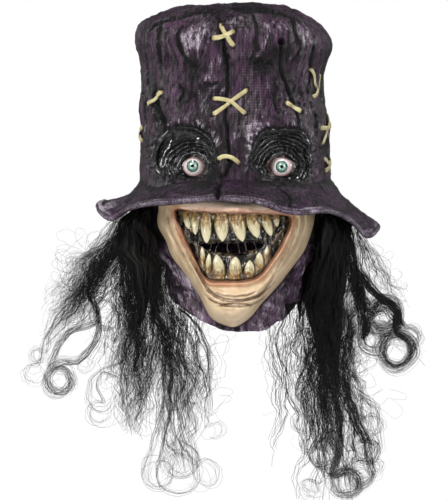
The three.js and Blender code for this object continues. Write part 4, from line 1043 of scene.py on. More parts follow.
# %% Sizes and tables of the face
face_height, mouth_middle, mouth_top, mouth_width, mouth_height = 149, -3, -82, 127, 78
muzzle_reach, muzzle_width, lip_width, lip_tuck = 31, 218, 9, 3
chin_reach, chin_width, chin_drop, nose_reach, nose_width, nose_drop = 11, 22, 39, 12, 15, 4
face_spokes = np.array([
    # across, down, turn, fall, hold
    (0.04, 0.059, 1, 0, 2), (0.17, 0.064, 15, 0, 2), (0.32, 0.074, 32, 0, 2), (0.45, 0.085, 52, 0.01, 2),
    (0.498, 0.13, 60, 0.13, 2), (0.484, 0.27, 60.5, 0.28, 2), (0.442, 0.438, 57, 0.42, 2),
    (0.385, 0.6, 49.5, 0.53, 2.2), (0.319, 0.75, 40.5, 0.63, 2.6), (0.27, 0.86, 32.4, 0.715, 3.2),
    (0.21, 0.945, 23.5, 0.81, 4), (0.12, 0.99, 14.5, 0.92, 5), (0.02, 1.0, 1, 1.0, 5), (-0.09, 1.0, -9, 0.99, 5),
    (-0.19, 0.995, -20.5, 0.94, 5), (-0.26, 0.92, -27, 0.85, 4), (-0.3, 0.787, -31.5, 0.755, 3.2),
    (-0.335, 0.67, -38.5, 0.66, 2.6), (-0.374, 0.545, -46, 0.55, 2.2), (-0.42, 0.39, -54, 0.42, 2),
    (-0.462, 0.229, -58, 0.28, 2), (-0.49, 0.1, -57, 0.14, 2), (-0.485, 0.01, -50, 0.01, 2),
    (-0.34, 0.03, -32, 0, 2), (-0.15, 0.05, -15, 0, 2),
])
SPOKE = np.arange(len(face_spokes)) / len(face_spokes)
face_folds = [(0, 0), (0.4, 0.55), (1, 0.1), (1.2, 0.45), (1.36, 0.1), (1.58, 0.45), (1.82, 0.2), (2, 0)]
face_creases = [
    # x and z along each path, half width, depth, lip
    ([(-50, -132), (-40, -152), (-32, -168), (-22, -178), (-12, -181)], 1.5, 2.6, 0.8),
    ([(-69, -88), (-66, -104), (-58, -122), (-49, -138), (-41, -152), (-34, -166)], 1.7, 2.6, 0.9),
    ([(-76, -82), (-75, -98), (-70, -112), (-60, -130), (-52, -142)], 1.6, 2.6, 1.2),
    ([(-27, -171), (-15, -176), (0, -177.5), (14, -176), (27, -171)], 1.1, 1.7, 0.6),
    ([(-24, -180), (-8, -183), (8, -183), (22, -179.5), (34, -174)], 1.0, 1.6, 0.6),
    ([(-24, -190), (-12, -186.5), (0, -185.3), (12, -186.5), (24, -190)], 1.4, 2.4, 0.9),
    ([(46, -150), (40, -162), (31, -173), (22, -180)], 1.5, 2.4, 0.8),
    ([(60, -120), (53, -136), (45, -152)], 1.6, 1.6, 0.7),
    ([(68, -86), (69, -104), (63, -122), (56, -136)], 1.7, 1.5, 0.7),
    ([(77, -84), (78, -98), (74, -112)], 1.2, 1.1, 0.5),
    ([(-40, -164), (-28, -174), (-10, -180.5), (8, -181.5), (26, -177), (42, -166), (52, -154)], 1.2, 1.6, 1.0),
    ([(-36, -176), (-26, -183), (-12, -188), (10, -189), (28, -184), (40, -175)], 1.1, 1.2, 0.9),
    ([(-66, -92), (-62, -108), (-54, -124), (-46, -140)], 1.5, 2.0, 1.1),
]


print("spokes:", len(face_spokes), "creases:", len(face_creases))

# %% Shape of the face
def above_mouth(z):
    """1 above the corners of the mouth, where the lip lies close under the brim."""
    return step(-93, -87, z)


def round_spokes(share, column):
    return ring_curve(share % 1, SPOKE, face_spokes[:, column], 1)


def muzzle_front(x):
    """y of the lips' plane at x."""
    share = np.minimum(np.abs(x) / (muzzle_width / 2), 0.92)
    return -(crown_depth * 0.46 + muzzle_reach) * np.sqrt(1 - share * share)


def lip_point(share):
    x = mouth_middle + round_spokes(share, 0) * mouth_width
    return pack(x, muzzle_front(x), mouth_top - round_spokes(share, 1) * mouth_height)


def face_edge(share):
    z = wrap_top - np.maximum(0, round_spokes(share, 3)) * face_height
    return wrap_at(round_spokes(share, 2), z)


def face_surface(share, zone):
    """Point of the face. zone 0 to 1 crosses the lip and 1 to 2 the cheek to the edge. The point goes straight
    from lip to edge seen from the front; it keeps its height and then drops, with folds and the chin and nose
    added forwards."""
    lip, edge = lip_point(share), face_edge(share)
    span = np.hypot(edge[..., 0] - lip[..., 0], edge[..., 2] - lip[..., 2])
    wide = np.minimum(lip_width, span / 2)
    far = np.where(zone < 1, zone * wide, wide + (zone - 1) * (span - wide))
    q = far / span
    x = lip[..., 0] + (edge[..., 0] - lip[..., 0]) * q
    z = lip[..., 2] + (edge[..., 2] - lip[..., 2]) * q
    drop = q ** round_spokes(share, 4)
    room = np.where(zone > 1, np.clip((span - wide) / lip_width - 0.4, 0, 1), 1)
    proud = curve(zone, *np.transpose(face_folds)) * room * lip_width
    proud += above_mouth(z) * (0.5 * lip_width * np.sin(np.pi * np.clip(0.12 + 0.88 * q, 0, 1)) ** 0.8 - proud)
    chin = np.hypot(x - mouth_middle, z - (mouth_top - mouth_height - chin_drop)) / chin_width
    nose = np.hypot((x - mouth_middle) / nose_width, (z - (mouth_top + nose_drop)) / (nose_width / 2))
    feature = chin_reach * np.exp(-chin**2) + nose_reach * np.exp(-nose**2)
    y = lip[..., 1] + (edge[..., 1] - lip[..., 1]) * drop - proud - feature * (1 - drop)
    y = y + lip_tuck * step(0.35, 0, zone)
    return pack(x, y, z), far, q


print("lowest point of the chin:", face_edge(np.array([0.5])).round(1))

# %% Relief and skin of the face
def face_relief(point, share, zone, far, q):
    """Height, shadow and redness on the face: drawn creases, fine folds parallel to the lips and soft lumps."""
    x, z = point[..., 0], point[..., 2]
    spot = pack(share * 330, far, 0)
    fine = 0.42 * rough(spot, (16, 2.4, 1), 93, 2) * step(0.9, 1.15, zone) + 0.22 * rough(spot, (2.4, 6, 1), 95, 2)
    lumps = 1.1 * rough(point, 15, 97) + 0.35 * rough(point, 5, 98)
    height = fine * step(1, 0.9, q) + lumps * step(1, 0.85, q) * step(0.1, 0.5, zone)
    sagging = rough(spot, (46, 8, 1), 96) * step(54, 78, np.abs(x)) * step(1, 0.85, q)
    height += 2.2 * sagging
    shade = 0.27 * step(0.1, 0.6, -rough(spot, (20, 4, 1), 99)) + 0.36 * step(0.05, 0.5, -sagging)
    wobble = 0.6 * rough(point, 8, 101)
    for path, half, deep, lip in face_creases:
        far_off, place = path_distance(x + wobble, z + wobble, path)
        ends = step(-0.001, 0.16, place) * step(1.001, 0.84, place)
        height += ends * crease(far_off, half, 1.3 * deep, 1.5 * lip, 2.4, 1.4)
        shade = np.maximum(shade, 0.85 * ends * bell(far_off, 1.3 * half + 0.3))
    shade *= 1 - 0.45 * step(30, 50, x) - 0.3 * step(-30, -50, x)
    upper = above_mouth(z)
    shade = np.maximum(shade, 0.36 * bell(z + 183, 10, x + 2, 34))
    shade = np.maximum(shade, step(4.8 + 1.2 * upper, 0.5, far) * (0.85 + 0.3 * rough(spot, (9, 3, 1), 100)))
    shade = np.maximum(shade, step(0.97, 1.0, q) * 0.1 * (1 - upper))
    red = step(1.24, 0.4, zone) * (0.85 + 0.4 * rough(spot, (14, 5, 1), 103)) * (1 - upper)
    stain = step(0.6, 0.08, q + 0.16 * rough(spot, (10, 4, 1), 104)) * (0.9 + 0.5 * rough(spot, (6, 3, 1), 105))
    red += upper * stain
    red = np.maximum(red, 0.7 * bell(x + 3, 9, z + 84, 4))
    return height, np.clip(shade, 0, 1), np.clip(red, 0, 1)


def flesh_paint():
    """Sallow tan with warmer patches, red brown lips, brown wash and painted shade in the creases and round the mouth,
    and peach above the upper teeth, painted extra light against the brim's shadow.
    """
    paint = Paint("sallow_skin")
    patches = paint.grain(38, 38, 38)
    mottle = paint.grain(170, 170, 170, 4, 0.65)
    tone = paint.mix(paint.spread(patches, 0.38, 0.64), (0.45, 0.33, 0.2), (0.6, 0.465, 0.305))
    tone = paint.mix(paint.spread(mottle, 0.5, 0.75, 0, 0.45), tone, (0.36, 0.25, 0.145))
    # Peach of the upper lip, painted extra light to lift the brim's shadow from it.
    tone = paint.mix(paint.number("upper"), tone, (1.0, 0.77, 0.6))
    lips = paint.ragged(paint.number("red"), mottle, 0.6)
    tone = paint.mix(paint.spread(lips, 0.1, 1.1, 0, 0.86), tone, (0.37, 0.135, 0.065))
    # Brown over the shade share: painted shade in creases and round the mouth, with some brown wash.
    wash_and_shade = paint.ragged(paint.number("shade"), mottle, 0.7)
    tone = paint.mix(paint.spread(wash_and_shade, 0.2, 1.0, 0, 0.85), tone, (0.08, 0.034, 0.018))
    normal = paint.bump(paint.grain(950, 950, 950, 3), 0.3, 0.0004, paint.bump(mottle, 0.35, 0.001))
    return paint.finish(tone, Roughness=paint.spread(mottle, 0.35, 0.65, 0.42, 0.55),
                        Subsurface_Weight=0.12, Subsurface_Radius=(0.6, 0.3, 0.15), Subsurface_Scale=0.004,
                        Coat_Weight=0.15, Coat_Roughness=0.3, Normal=normal)


def face_piece(columns=300, rows=98):
    zones = np.concatenate([np.linspace(0, 1, 28, endpoint=False), np.linspace(1, 2, rows - 28)])
    share, zone = np.meshgrid(np.arange(columns) / columns, zones)
    point, far, q = face_surface(share, zone)
    height, shade, red = face_relief(point, share, zone, far, q)
    point[..., 1] -= height
    rim = point[:1].repeat(5, axis=0)
    rim[..., 1] += np.array([7.5, 5.5, 3.6, 2.0, 0.8])[:, None]
    point = np.concatenate([rim, point])
    shade = np.concatenate([np.full((5, columns), 1.0), shade])
    red = np.concatenate([np.full((5, columns), 0.6), red])
    # Share of painted light on the upper lip, which lies in the brim's shadow.
    upper = above_mouth(point[..., 2]) * step(66, 54, np.abs(point[..., 0]))
    piece = make_piece("face_skin", point, None, flesh_paint(), ["face"],
                       {"shade": shade, "red": red, "upper": upper})
    thicken(piece, 1.8)


face_piece()

# %% Cowl with its wrinkles
def cowl_piece(front_count=190, back_count=70, rows=100):
    """Grid of turn and share of the way down, cut open inside the face's edge and ragged along its hem."""
    turns = front_turns(front_count, back_count, 80)
    turn, down = np.meshgrid(turns, np.linspace(1, 0, rows))
    base = wrap_point(turn, down)
    slanted = base @ np.array(Matrix.Rotation(math.radians(24), 3, "Y"))
    upright = base @ np.array(Matrix.Rotation(math.radians(-12), 3, "Y"))
    folds = rough(slanted, (26, 26, 9), 105, 2)
    strokes = rough(upright, (3.4, 3.4, 15), 107)
    lumps = rough(base, 20, 109)
    front = bell(gap(turn, 30), 34)
    small = ridges(slanted, (17, 17, 7), 106)
    wrinkles = 0.4 + 0.8 * folds + 0.5 * small
    height = (3.2 + 2.4 * front) * wrinkles + 2.4 * lumps + 0.9 * strokes + 0.6 * rough(base, 5, 111) - 2.2
    height *= step(0, 0.1, down)
    edge_turn, edge_z = round_spokes(SPOKE, 2), wrap_top - round_spokes(SPOKE, 3) * face_height
    far, _ = path_distance(turn * ARC, base[..., 2], pack(edge_turn * ARC, edge_z))
    height *= step(0.5, 9, far)
    points = base + direction(turn) * height[..., None]
    points[..., 2] += 3.2 * step(0.9, 1, down) * rough(base, 16, 113)
    share_at, middle = np.arange(400) / 400, mouth_top - 35
    edge_across = round_spokes(share_at, 2) * ARC
    edge_above = wrap_top - np.maximum(0, round_spokes(share_at, 3)) * face_height - middle
    across, above = gap(turn, 0) * ARC, base[..., 2] - middle
    edge_angle = np.arctan2(edge_above, edge_across)
    order = np.argsort(edge_angle)
    limit = np.interp(np.arctan2(above, across), edge_angle[order], np.hypot(edge_above, edge_across)[order],
                      period=2 * np.pi)
    covered = np.hypot(above, across) < limit - 3.5
    cells = grid_faces(rows, len(turns))
    cells = cells[~covered.ravel()[cells].all(axis=1)]
    wash_and_shade = np.clip(0.95 * step(0.45, -0.1, wrinkles) + 0.25 * step(0.1, 0.6, -lumps - 0.8 * strokes), 0, 1)
    # Painted shade: darker beside the face's edge and nearly black where the brim hangs over the cowl.
    wash_and_shade = np.maximum(wash_and_shade, step(6, 1, far) * 0.6)
    wash_and_shade = np.maximum(wash_and_shade, step(-140, -108, base[..., 2]))
    left = bell(gap(turn, -40), 26)
    wash_and_shade *= 1 - 0.75 * left * step(-150, -165, base[..., 2])
    pale = 0.1 + 0.75 * wrinkles + 0.3 * lumps + 0.55 * strokes + 0.25 * front + 0.45 * left
    places = pack(turn * ARC, base[..., 2]) * 0.1
    piece = make_piece("cowl", points, [cells], wrap_paint, ["neck_wrap"],
                       {"wash_and_shade": wash_and_shade, "pale": pale, "weave": 0 * pale}, places)
    thicken(piece, 2.0)


cowl_piece()

# %% [markdown]
# ## Gums and teeth
# Behind the lips lies a wet black lining with the slot through which the wearer sees. It swells round the root of
# every fang. Each fang is a profile carried round its own bent axis: an oval that narrows on a curve
# to the tip, with shallow ridges down its length. The stain is strongest at the root, so each point keeps how far
# along the tooth it lies, and the paint follows that.

# %% Gums behind the lips
slot_spokes = np.array([(0, 0.465), (0.17, 0.462), (0.26, 0.49), (0.17, 0.58), (0, 0.62), (-0.17, 0.59),
                        (-0.28, 0.5), (-0.17, 0.465)])
upper_teeth = [
    # root, tip, long, wide, start
    (-0.4, -0.385, 0.58, 0.6, 0.04), (-0.33, -0.327, 0.76, 0.58, 0.045), (-0.232, -0.228, 1.02, 0.84, 0.055),
    (-0.098, -0.09, 0.94, 1.0, 0.06), (0.036, 0.086, 0.94, 1.0, 0.062), (0.165, 0.216, 0.81, 0.92, 0.066),
    (0.287, 0.336, 0.74, 0.74, 0.072), (0.378, 0.386, 0.4, 0.5, 0.08),
]
lower_teeth = [
    (-0.262, -0.268, 0.55, 0.36, 0.75), (-0.212, -0.206, 0.63, 0.46, 0.88), (-0.112, -0.14, 0.78, 0.88, 0.955),
    (0.02, 0.024, 0.73, 0.93, 0.96), (0.145, 0.15, 0.53, 0.74, 0.935), (0.232, 0.235, 0.58, 0.62, 0.84),
    (0.292, 0.304, 0.45, 0.36, 0.7),
]
fang_length, fang_width = 32, 14.5


def lining_front(x):
    return muzzle_front(x) + lip_tuck + wall + 0.3


def gum_piece(columns=220, rows=36):
    """Spokes from the slot out behind the lips: flat, with a swelling at each root, strands and small drops."""
    share, out = np.meshgrid(np.arange(columns) / columns, np.linspace(0, 1, rows))
    lip = lip_point(share)
    slot_x, slot_z = (ring_curve(share, np.arange(8) / 8, values, 1) for values in slot_spokes.T)
    x0, z0 = mouth_middle + slot_x * mouth_width, mouth_top - slot_z * mouth_height
    ragged = pack(x0, 9 * (z0 > mouth_top - 0.53 * mouth_height), 0)
    drips = 3.4 * np.clip(noise(ragged, (4.2, 4, 1), 114) + 0.15, 0, 1) + 0.8 * rough(ragged, (2.4, 4, 1), 116)
    z0 -= drips * np.where(ragged[..., 1] > 0, 1, -0.55) * step(34, 24, np.abs(x0 - mouth_middle))
    x = x0 + (lip[..., 0] - x0) * out
    z = z0 + (lip[..., 2] - z0) * out
    spot = pack(x, z, 0)
    height = 1.8 * ridges(spot, (5, 13, 1), 115) + 1.0 * rough(spot, (4, 7, 1), 117)
    for (root, _, _, wide, start), way in [(row, -1) for row in upper_teeth] + [(row, 1) for row in lower_teeth]:
        rx, rz = mouth_middle + root * mouth_width, mouth_top - start * mouth_height
        near = np.hypot((x - rx) / (0.62 * wide * fang_width), (z - rz - way * 3) / 9)
        height += 2.6 * np.exp(-near**4)
    y = lining_front(x) - height * step(0.02, 0.22, out) * step(1, 0.96, out) + 4 * step(0.16, 0, out) ** 2
    # The gums' lighter crests are partly brown paint and partly painted wet reflection.
    wet_gums = wet_black("wet_gums", 0.12, 0.36, (0.26, 0.19, 0.115))
    piece = make_piece("gums", pack(x, y, z), None, wet_gums, ["mouth_lining"],
                       {"pale": 0.35 + 0.25 * height, "pink": 0 * x})
    thicken(piece, 1.4)


gum_piece()

# %% Strings of slime
slime_rows = [
    # share of the mouth's width, thickness, lean
    (-0.2, 1.5, 1), (-0.13, 1.0, -2), (-0.045, 1.7, 1.5), (0.06, 1.0, -1), (0.12, 1.9, -2), (0.19, 1.2, 1),
]


def slime_piece(rows=18, columns=9):
    """Strings of black slime between the edges of the slot: upright tubes, thick at both ends and thin between,
    whose middle line wanders sideways."""
    clock, down = np.meshgrid(around(columns), np.linspace(0, 1, rows))
    grids = []
    for index, (at, thick, lean) in enumerate(slime_rows):
        radius = thick * (0.4 + 1.2 * np.abs(2 * down - 0.9) ** 2.2)
        x = mouth_middle + at * mouth_width + lean * down + 1.2 * np.sin(5 * down + index)
        z = mouth_top - (0.44 + 0.18 * down) * mouth_height
        y = lining_front(x) + 1.2 + 0.8 * np.sin(np.pi * down)
        grids.append(pack(x + radius * np.sin(clock), y - radius * np.cos(clock), z))
    points = np.array(grids)
    make_piece("slime_strings", points, tube_cells(grids), bpy.data.materials["wet_gums"], (),
               {"pale": 0.5 + 0 * points[..., 0], "pink": 0 * points[..., 0]})


slime_piece()

# %% Fangs
def tooth_paint():
    """Ivory that turns amber, then brown at the root, with dark specks there, upright cracks and painted shade on the
    sides.
    """
    paint = Paint("stained_ivory")
    along = paint.number("along")
    cracks = paint.grain(650, 650, 85, 4, 0.65)
    specks = paint.grain(330, 330, 260, 3, 0.6)
    stain = paint.ragged(along, cracks, 1.0)
    tone = paint.mix(paint.spread(stain, 0.0, 0.46), (0.33, 0.2, 0.05), (0.43, 0.38, 0.22))
    tone = paint.mix(paint.spread(stain, 0.42, 0.9, 0, 0.62), tone, (0.6, 0.56, 0.4))
    root = paint.math("MULTIPLY", paint.spread(along, 0.56, 0.16), paint.spread(specks, 0.46, 0.54))
    tone = paint.mix(root, tone, (0.1, 0.042, 0.01))
    lines = paint.math("MULTIPLY", paint.spread(cracks, 0.5, 0.58, 0, 0.9), paint.spread(along, 0.95, 0.25))
    tone = paint.mix(lines, tone, (0.14, 0.075, 0.02))
    # Painted shade: each fang darker towards its sides, where it turns away.
    side_shade = paint.ragged(paint.number("flank"), specks, 0.6)
    tone = paint.mix(paint.spread(side_shade, 0.5, 1.0, 0, 0.9), tone, (0.09, 0.06, 0.02))
    return paint.finish(tone, Roughness=0.3, Coat_Weight=0.4, Coat_Roughness=0.1, Subsurface_Weight=0.08,
                        Subsurface_Scale=0.002, Normal=paint.bump(cracks, 0.6, 0.0009))


def fang(row, way, seed, columns=26, rows=28):
    """Points of one fang from above its root to its tip, way -1 for down, and how far along and how far round to
    the flank each lies. Half width: a full oval, blunt at the tip, a waist at the root and ridges round it. The
    axis leans with the 1.4th power."""
    root, tip, long, wide, start = row
    wide, thick = wide * fang_width, max(0.5 * wide * fang_width, 4)
    tip_shares = 1 - np.array([0.1, 0.07, 0.045, 0.025, 0.01, 0.002])
    shares = np.concatenate([np.linspace(-0.08, 0.9, rows - len(tip_shares), endpoint=False), tip_shares])
    clock, along = np.meshgrid(around(columns), shares)
    rx, rz = mouth_middle + root * mouth_width, mouth_top - start * mouth_height
    tx, tz = mouth_middle + tip * mouth_width, rz + way * long * fang_length
    positive = np.maximum(along, 0)
    size = 1.14 * np.maximum(1 - positive**3.3, 0.0) ** 0.72 * (1 - 0.22 * step(0.34, 0, along)) + 0.01
    size *= 1 + 0.05 * rough(pack(clock * 3, along * 3, 0 * clock + seed), 1, seed)
    ridge = 1 + 0.04 * np.cos(7 * clock + seed) * step(1, 0.6, along)
    half, deep = size * ridge * wide / 2, size * ridge * thick / 2
    x = rx + (tx - rx) * positive**1.4
    z = rz + (tz - rz) * along
    y = lining_front(x) - 0.3 - thick / 2 - deep * np.cos(clock) - 1.2 * np.sin(np.pi * np.clip(along, 0, 1))
    return pack(x - way * half * np.sin(clock), y, z), along, np.abs(np.sin(clock)) ** 3


def teeth_piece(name, table, way, nodes, material):
    """All the fangs of one jaw in one mesh, each closed by a fan of cells at its root and at its tip."""
    points, alongs, flanks, cells = [], [], [], []
    count = 0
    for index, row in enumerate(table):
        grid, along, flank = fang(row, way, 121 + 3 * index)
        rows, columns = along.shape
        tip = count + rows * columns
        points.append(np.concatenate([grid.reshape(-1, 3), grid[-1].mean(axis=0)[None], grid[0].mean(axis=0)[None]]))
        alongs += [along.ravel(), [1, 0]]
        flanks += [flank.ravel(), [0, 0]]
        cells += [(grid_faces(rows, columns) + count)[:, ::-1], fan(tip - columns, columns, tip, turned=True),
                  fan(count, columns, tip + 1)]
        count += len(points[-1])
    make_piece(name, np.concatenate(points), cells, material, nodes,
               {"along": np.concatenate(alongs), "flank": np.concatenate(flanks)})


ivory = tooth_paint()
teeth_piece("upper_fangs", upper_teeth, -1, [f"tooth_upper_{k}" for k in range(1, 9)], ivory)
teeth_piece("lower_fangs", lower_teeth, 1, [f"tooth_lower_{k}" for k in range(1, 8)], ivory)

# %% [markdown]
# ## Laces
# Strips of rawhide close the tears, singly or crossed. A strip is a flat oval profile carried along a line on the
# hat; it bows up in the middle, dives into a hole at each end, and the second strip of a cross rides over the
# first. Rawhide is pale, dry and streaked.

# %% Rawhide laces
lace_width, lace_thick, lace_gap, lace_arch = 5, 1.8, 0.5, 1.1
laces = {
    # turn and share of the height along each strip
    "lace_top": [[(-9, 0.89), (-5, 0.83), (-0.8, 0.766)], [(-13.2, 0.81), (-6.4, 0.822), (-0.2, 0.85)]],
    "lace_middle": [[(8, 0.548), (-1, 0.496), (-7, 0.452), (-13.2, 0.414)],
                    [(-13.8, 0.5), (-8, 0.497), (-2.6, 0.485), (1.8, 0.45), (6.3, 0.42)]],
    "lace_left": [[(-51.1, 0.539), (-57.4, 0.496), (-63.7, 0.466)]],
    "lace_left_edge": [[(-76, 0.35), (-82, 0.334), (-86, 0.316)], [(-86, 0.316), (-80, 0.3), (-76, 0.275)]],
    "lace_nose_bridge": [[(-10.8, 0.182), (-7.2, 0.2), (-3.6, 0.2), (-0.2, 0.185), (2.5, 0.16)]],
    "lace_right": [[(33.5, 0.481), (38.6, 0.456), (44.4, 0.43)]],
    "lace_side_top": [[(54.7, 0.659), (58.6, 0.62), (60.6, 0.575), (65.5, 0.553)],
                      [(66, 0.575), (61, 0.53), (57, 0.507)]],
    "lace_side_edge": [[(70.5, 0.63), (73.6, 0.58), (75, 0.529)]],
    "lace_side_middle": [[(80.4, 0.423), (74, 0.36), (67.5, 0.31), (63.4, 0.255)],
                         [(60.6, 0.345), (72, 0.348), (83.2, 0.37)]],
    "lace_side_low": [[(67, 0.187), (73, 0.158), (80, 0.11)], [(81, 0.195), (75, 0.15), (69, 0.116)]],
}


def rawhide_paint():
    paint = Paint("rawhide")
    fibre = paint.grain(620, 620, 620, 5, 0.7)
    clouds = paint.spread(paint.grain(120, 120, 120, 3), 0.35, 0.65)
    tone = paint.mix(clouds, (0.29, 0.245, 0.11), (0.46, 0.41, 0.22))
    tone = paint.mix(paint.spread(fibre, 0.54, 0.72, 0, 0.7), tone, (0.2, 0.13, 0.06))
    tone = paint.mix(paint.spread(paint.number("shade"), 0.2, 1, 0, 0.85), tone, (0.1, 0.06, 0.03))
    return paint.finish(tone, Roughness=0.55, Normal=paint.bump(fibre, 0.6, 0.0008))


def strap(row, index, seed, steps=36, sides=12):
    """One strip: a flat profile with round edges along a curve, whose height over the skin is an arch."""
    share = np.linspace(0, 1, steps)
    turn, up = (curve(share, np.linspace(0, 1, len(row)), values) for values in np.transpose(row))
    wander = noise(pack(share * 3, 0, 0 * share + seed), 1, seed)
    out = direction(turn)
    arch, end = (index + 0.6) * lace_arch * np.sin(np.pi * share), np.abs(2 * share - 1)
    lift = lace_gap + lace_thick / 2 + arch - 2.6 * end**8
    height = hat_relief(turn, crown_foot + up * crown_height, crown_base(turn, up))[0]
    soft = np.convolve(np.pad(height, 8, mode="edge"), np.ones(17) / 17, mode="valid")
    middle = crown_base(turn, up) + out * (lift + np.maximum(soft, height - 0.6))[:, None]
    ahead = np.gradient(middle, axis=0)
    ahead /= np.linalg.norm(ahead, axis=1)[:, None]
    across = np.cross(ahead, out)
    across /= np.linalg.norm(across, axis=1)[:, None]
    middle = middle + across * (0.5 * wander * np.sin(np.pi * share))[:, None]
    clock = around(sides)
    half = lace_width / 2 * (0.86 + 0.16 * wander + 0.18 * end)
    flat = np.sign(np.cos(clock)) * np.abs(np.cos(clock)) ** 0.6
    points = (middle[:, None] + across[:, None] * (half[:, None] * flat)[..., None]
              + out[:, None] * (0.42 * lace_thick * np.sin(clock))[None, :, None])
    return points, end[:, None] ** 7 + 0 * clock


def lace_piece(name, straps, material, seed):
    grids, shades = zip(*(strap(row, index, seed + index) for index, row in enumerate(straps)))
    make_piece(f"{name}_strip", np.concatenate(grids), tube_cells(grids), material, [name],
               {"shade": np.concatenate(shades)})


rawhide = rawhide_paint()
for seed, (name, straps) in enumerate(laces.items()):
    lace_piece(name, straps, rawhide, 151 + 5 * seed)

# %% [markdown]
# ## Hair
# Two hanks of synthetic hair hang from a weft under the brim: dense near the head, then crimped, with springy
# rings and thin wisps at the ends. A dark core fills the upper part of each lock, on the same middle line as its solid.
# Thousands of thin three-sided strands cover it: short ones on the locks themselves, and long ones along
# tresses drawn after the photograph. All of them are bent by the same smooth random fields, so that neighbours wave
# together as real hair does, and some are wound up into a ring at the end.

# %% Lines of the locks
hair_length, hair_top, weft_height, weft_thick, lock_width, lock_gap = 338, -78, 14, 5, 42, 1.6
locks = {
    # root and tip turns, flare, long, thick, swing
    "left": np.array([
        (-66, -60, 0.03, 0.58, 0.7, 0.006), (-77, -71, 0.13, 0.86, 1.0, 0.014), (-88, -82, 0.24, 0.72, 0.9, 0.016),
        (-98, -86, 0.48, 0.6, 0.7, 0.02), (-109, -98, 0.15, 0.93, 1.05, 0.018), (-121, -114, 0.09, 0.92, 1.0, 0.018),
        (-133, -134, 0.05, 0.95, 0.9, 0.018), (-145, -152, 0.02, 0.88, 0.75, 0.014),
    ]),
    "right": np.array([
        (67, 64, 0.03, 0.6, 0.7, 0.006), (78, 68, 0.08, 0.99, 1.05, 0.014), (89, 82, 0.15, 1.0, 1.05, 0.016),
        (99, 92, 0.37, 0.5, 0.75, 0.016), (109, 101, 0.13, 0.98, 1.05, 0.018), (121, 112, 0.1, 0.96, 1.0, 0.018),
        (133, 128, 0.05, 0.97, 0.9, 0.018), (145, 144, 0.01, 0.86, 0.75, 0.014),
    ]),
}
core_ends = {"left": 0.46, "right": 0.62}


def lock_line(rows, along):
    """Middle, radius and directions of a lock at shares of its length: it hangs outside the wrap,
    swings out with the 1.25th power and waves sideways. rows has a lock's numbers in its last axis."""
    root, tip, flare, long, thick, swing = np.moveaxis(rows, -1, 0)
    wave = swing * hair_length * along * np.sin(2 * np.pi * (2.2 * along + root * 0.0213))
    start = hair_top - weft_height / 4
    z = start - long * (hair_length - weft_height / 4) * along
    turn = root + (tip - root) * along
    swell = (1 + np.sin(np.pi * np.minimum(1, 0.1 + along))) / 2
    radius = thick * lock_width * swell * (1 - 0.55 * along**2) / 2 * (0.45 + 0.55 * step(0, 0.08, along))
    away = 0.3 + lock_gap + radius + flare * hair_length * along**1.25
    out = direction(turn)
    aside = pack(-out[..., 1], out[..., 0], 0)
    middle = wrap_at(turn, z) + out * away[..., None] + aside * wave[..., None]
    return middle, radius, out, aside


def hair_paint():
    """Black fibre with a soft grey gloss; single strands are painted grey as sheen."""
    paint = Paint("black_hair")
    streaks = paint.grain(500, 500, 40, 3)
    wash_shade_and_sheen = paint.math("MULTIPLY_ADD", streaks, 0.5, paint.number("wash_shade_and_sheen"))
    tone = paint.mix(paint.spread(wash_shade_and_sheen, 0.4, 1.4), (0.0015, 0.0014, 0.0014), (0.06, 0.056, 0.055))
    return paint.finish(tone, Roughness=0.45, Specular_IOR_Level=0.16,
                        Normal=paint.bump(streaks, 0.5, 0.002))


black_hair = hair_paint()
print("locks:", {side: len(rows) for side, rows in locks.items()})

# %% Dark cores of the locks
def hair_core(side, sides=20, steps=30, weft_steps=40):
    """Dark mass of the locks: each a closed tube round its line, fluted along its length, and the flat weft."""
    clock = -around(sides)
    grids = []
    for index, row in enumerate(locks[side]):
        end = core_ends[side] * (0.55 + 0.45 * step(0.85, 1, row[4]))
        along = np.linspace(0, end, steps)
        middle, radius, out, aside = lock_line(np.broadcast_to(row, (steps, 6)), along)
        field = pack(np.cos(clock) * 3, np.sin(clock) * 3, along[:, None] * 7)
        flutes = 1 + (0.2 + 0.6 * along[:, None] / end) * rough(field, (0.9, 0.9, 5), 201 + index)
        thin = (0.74 * (1 - 0.93 * step(0.35, 1.05, along / end)) * radius)[:, None] * flutes
        grids.append(middle[:, None] + out[:, None] * (thin * np.cos(clock))[..., None]
                     + aside[:, None] * (thin * np.sin(clock))[..., None])
    turns = locks[side][:, 0]
    turn = np.linspace(turns.min() - 2.6, turns.max() + 2.6, weft_steps)
    high = wrap_at(turn, 0 * turn + hair_top) + direction(turn) * 0.3
    low = high - [0, 0, weft_height]
    thick = direction(turn) * weft_thick
    weft = np.stack([high + thick, low + thick, low, high], axis=1)
    count = len(grids) * steps * sides
    weft_ends = np.array([[0, 3, 2, 1], [0, 1, 2, 3]]) + [[count], [count + 4 * (weft_steps - 1)]]
    points = np.concatenate([np.reshape(grids, (-1, 3)), weft.reshape(-1, 3)])
    make_piece(f"hair_core_{side}", points, [*tube_cells(grids, inward=False), grid_faces(weft_steps, 4) + count,
               weft_ends], black_hair, [f"hair_{side}"], {"wash_shade_and_sheen": 0 * points[:, 0]})


for side in ("left", "right"):
    hair_core(side)

# %% [markdown]
# The tresses are paths in x and z, as they are seen from in front. Each has a half width and a depth at its start and
# end, a number of strands and a share of them that winds up. Where the photograph shows a clear ring, the path
# itself runs round it.

# %% Paths of the tresses
def ringed(path, x, z, radius, start, sweep):
    """The path with points round a ring added: from an angle clockwise from the top, over a sweep, in degrees."""
    angles = np.radians(start + np.linspace(0, sweep, max(4, int(abs(sweep) / 24))))
    return [*path, *zip(x + radius * np.sin(angles), z + radius * np.cos(angles))]


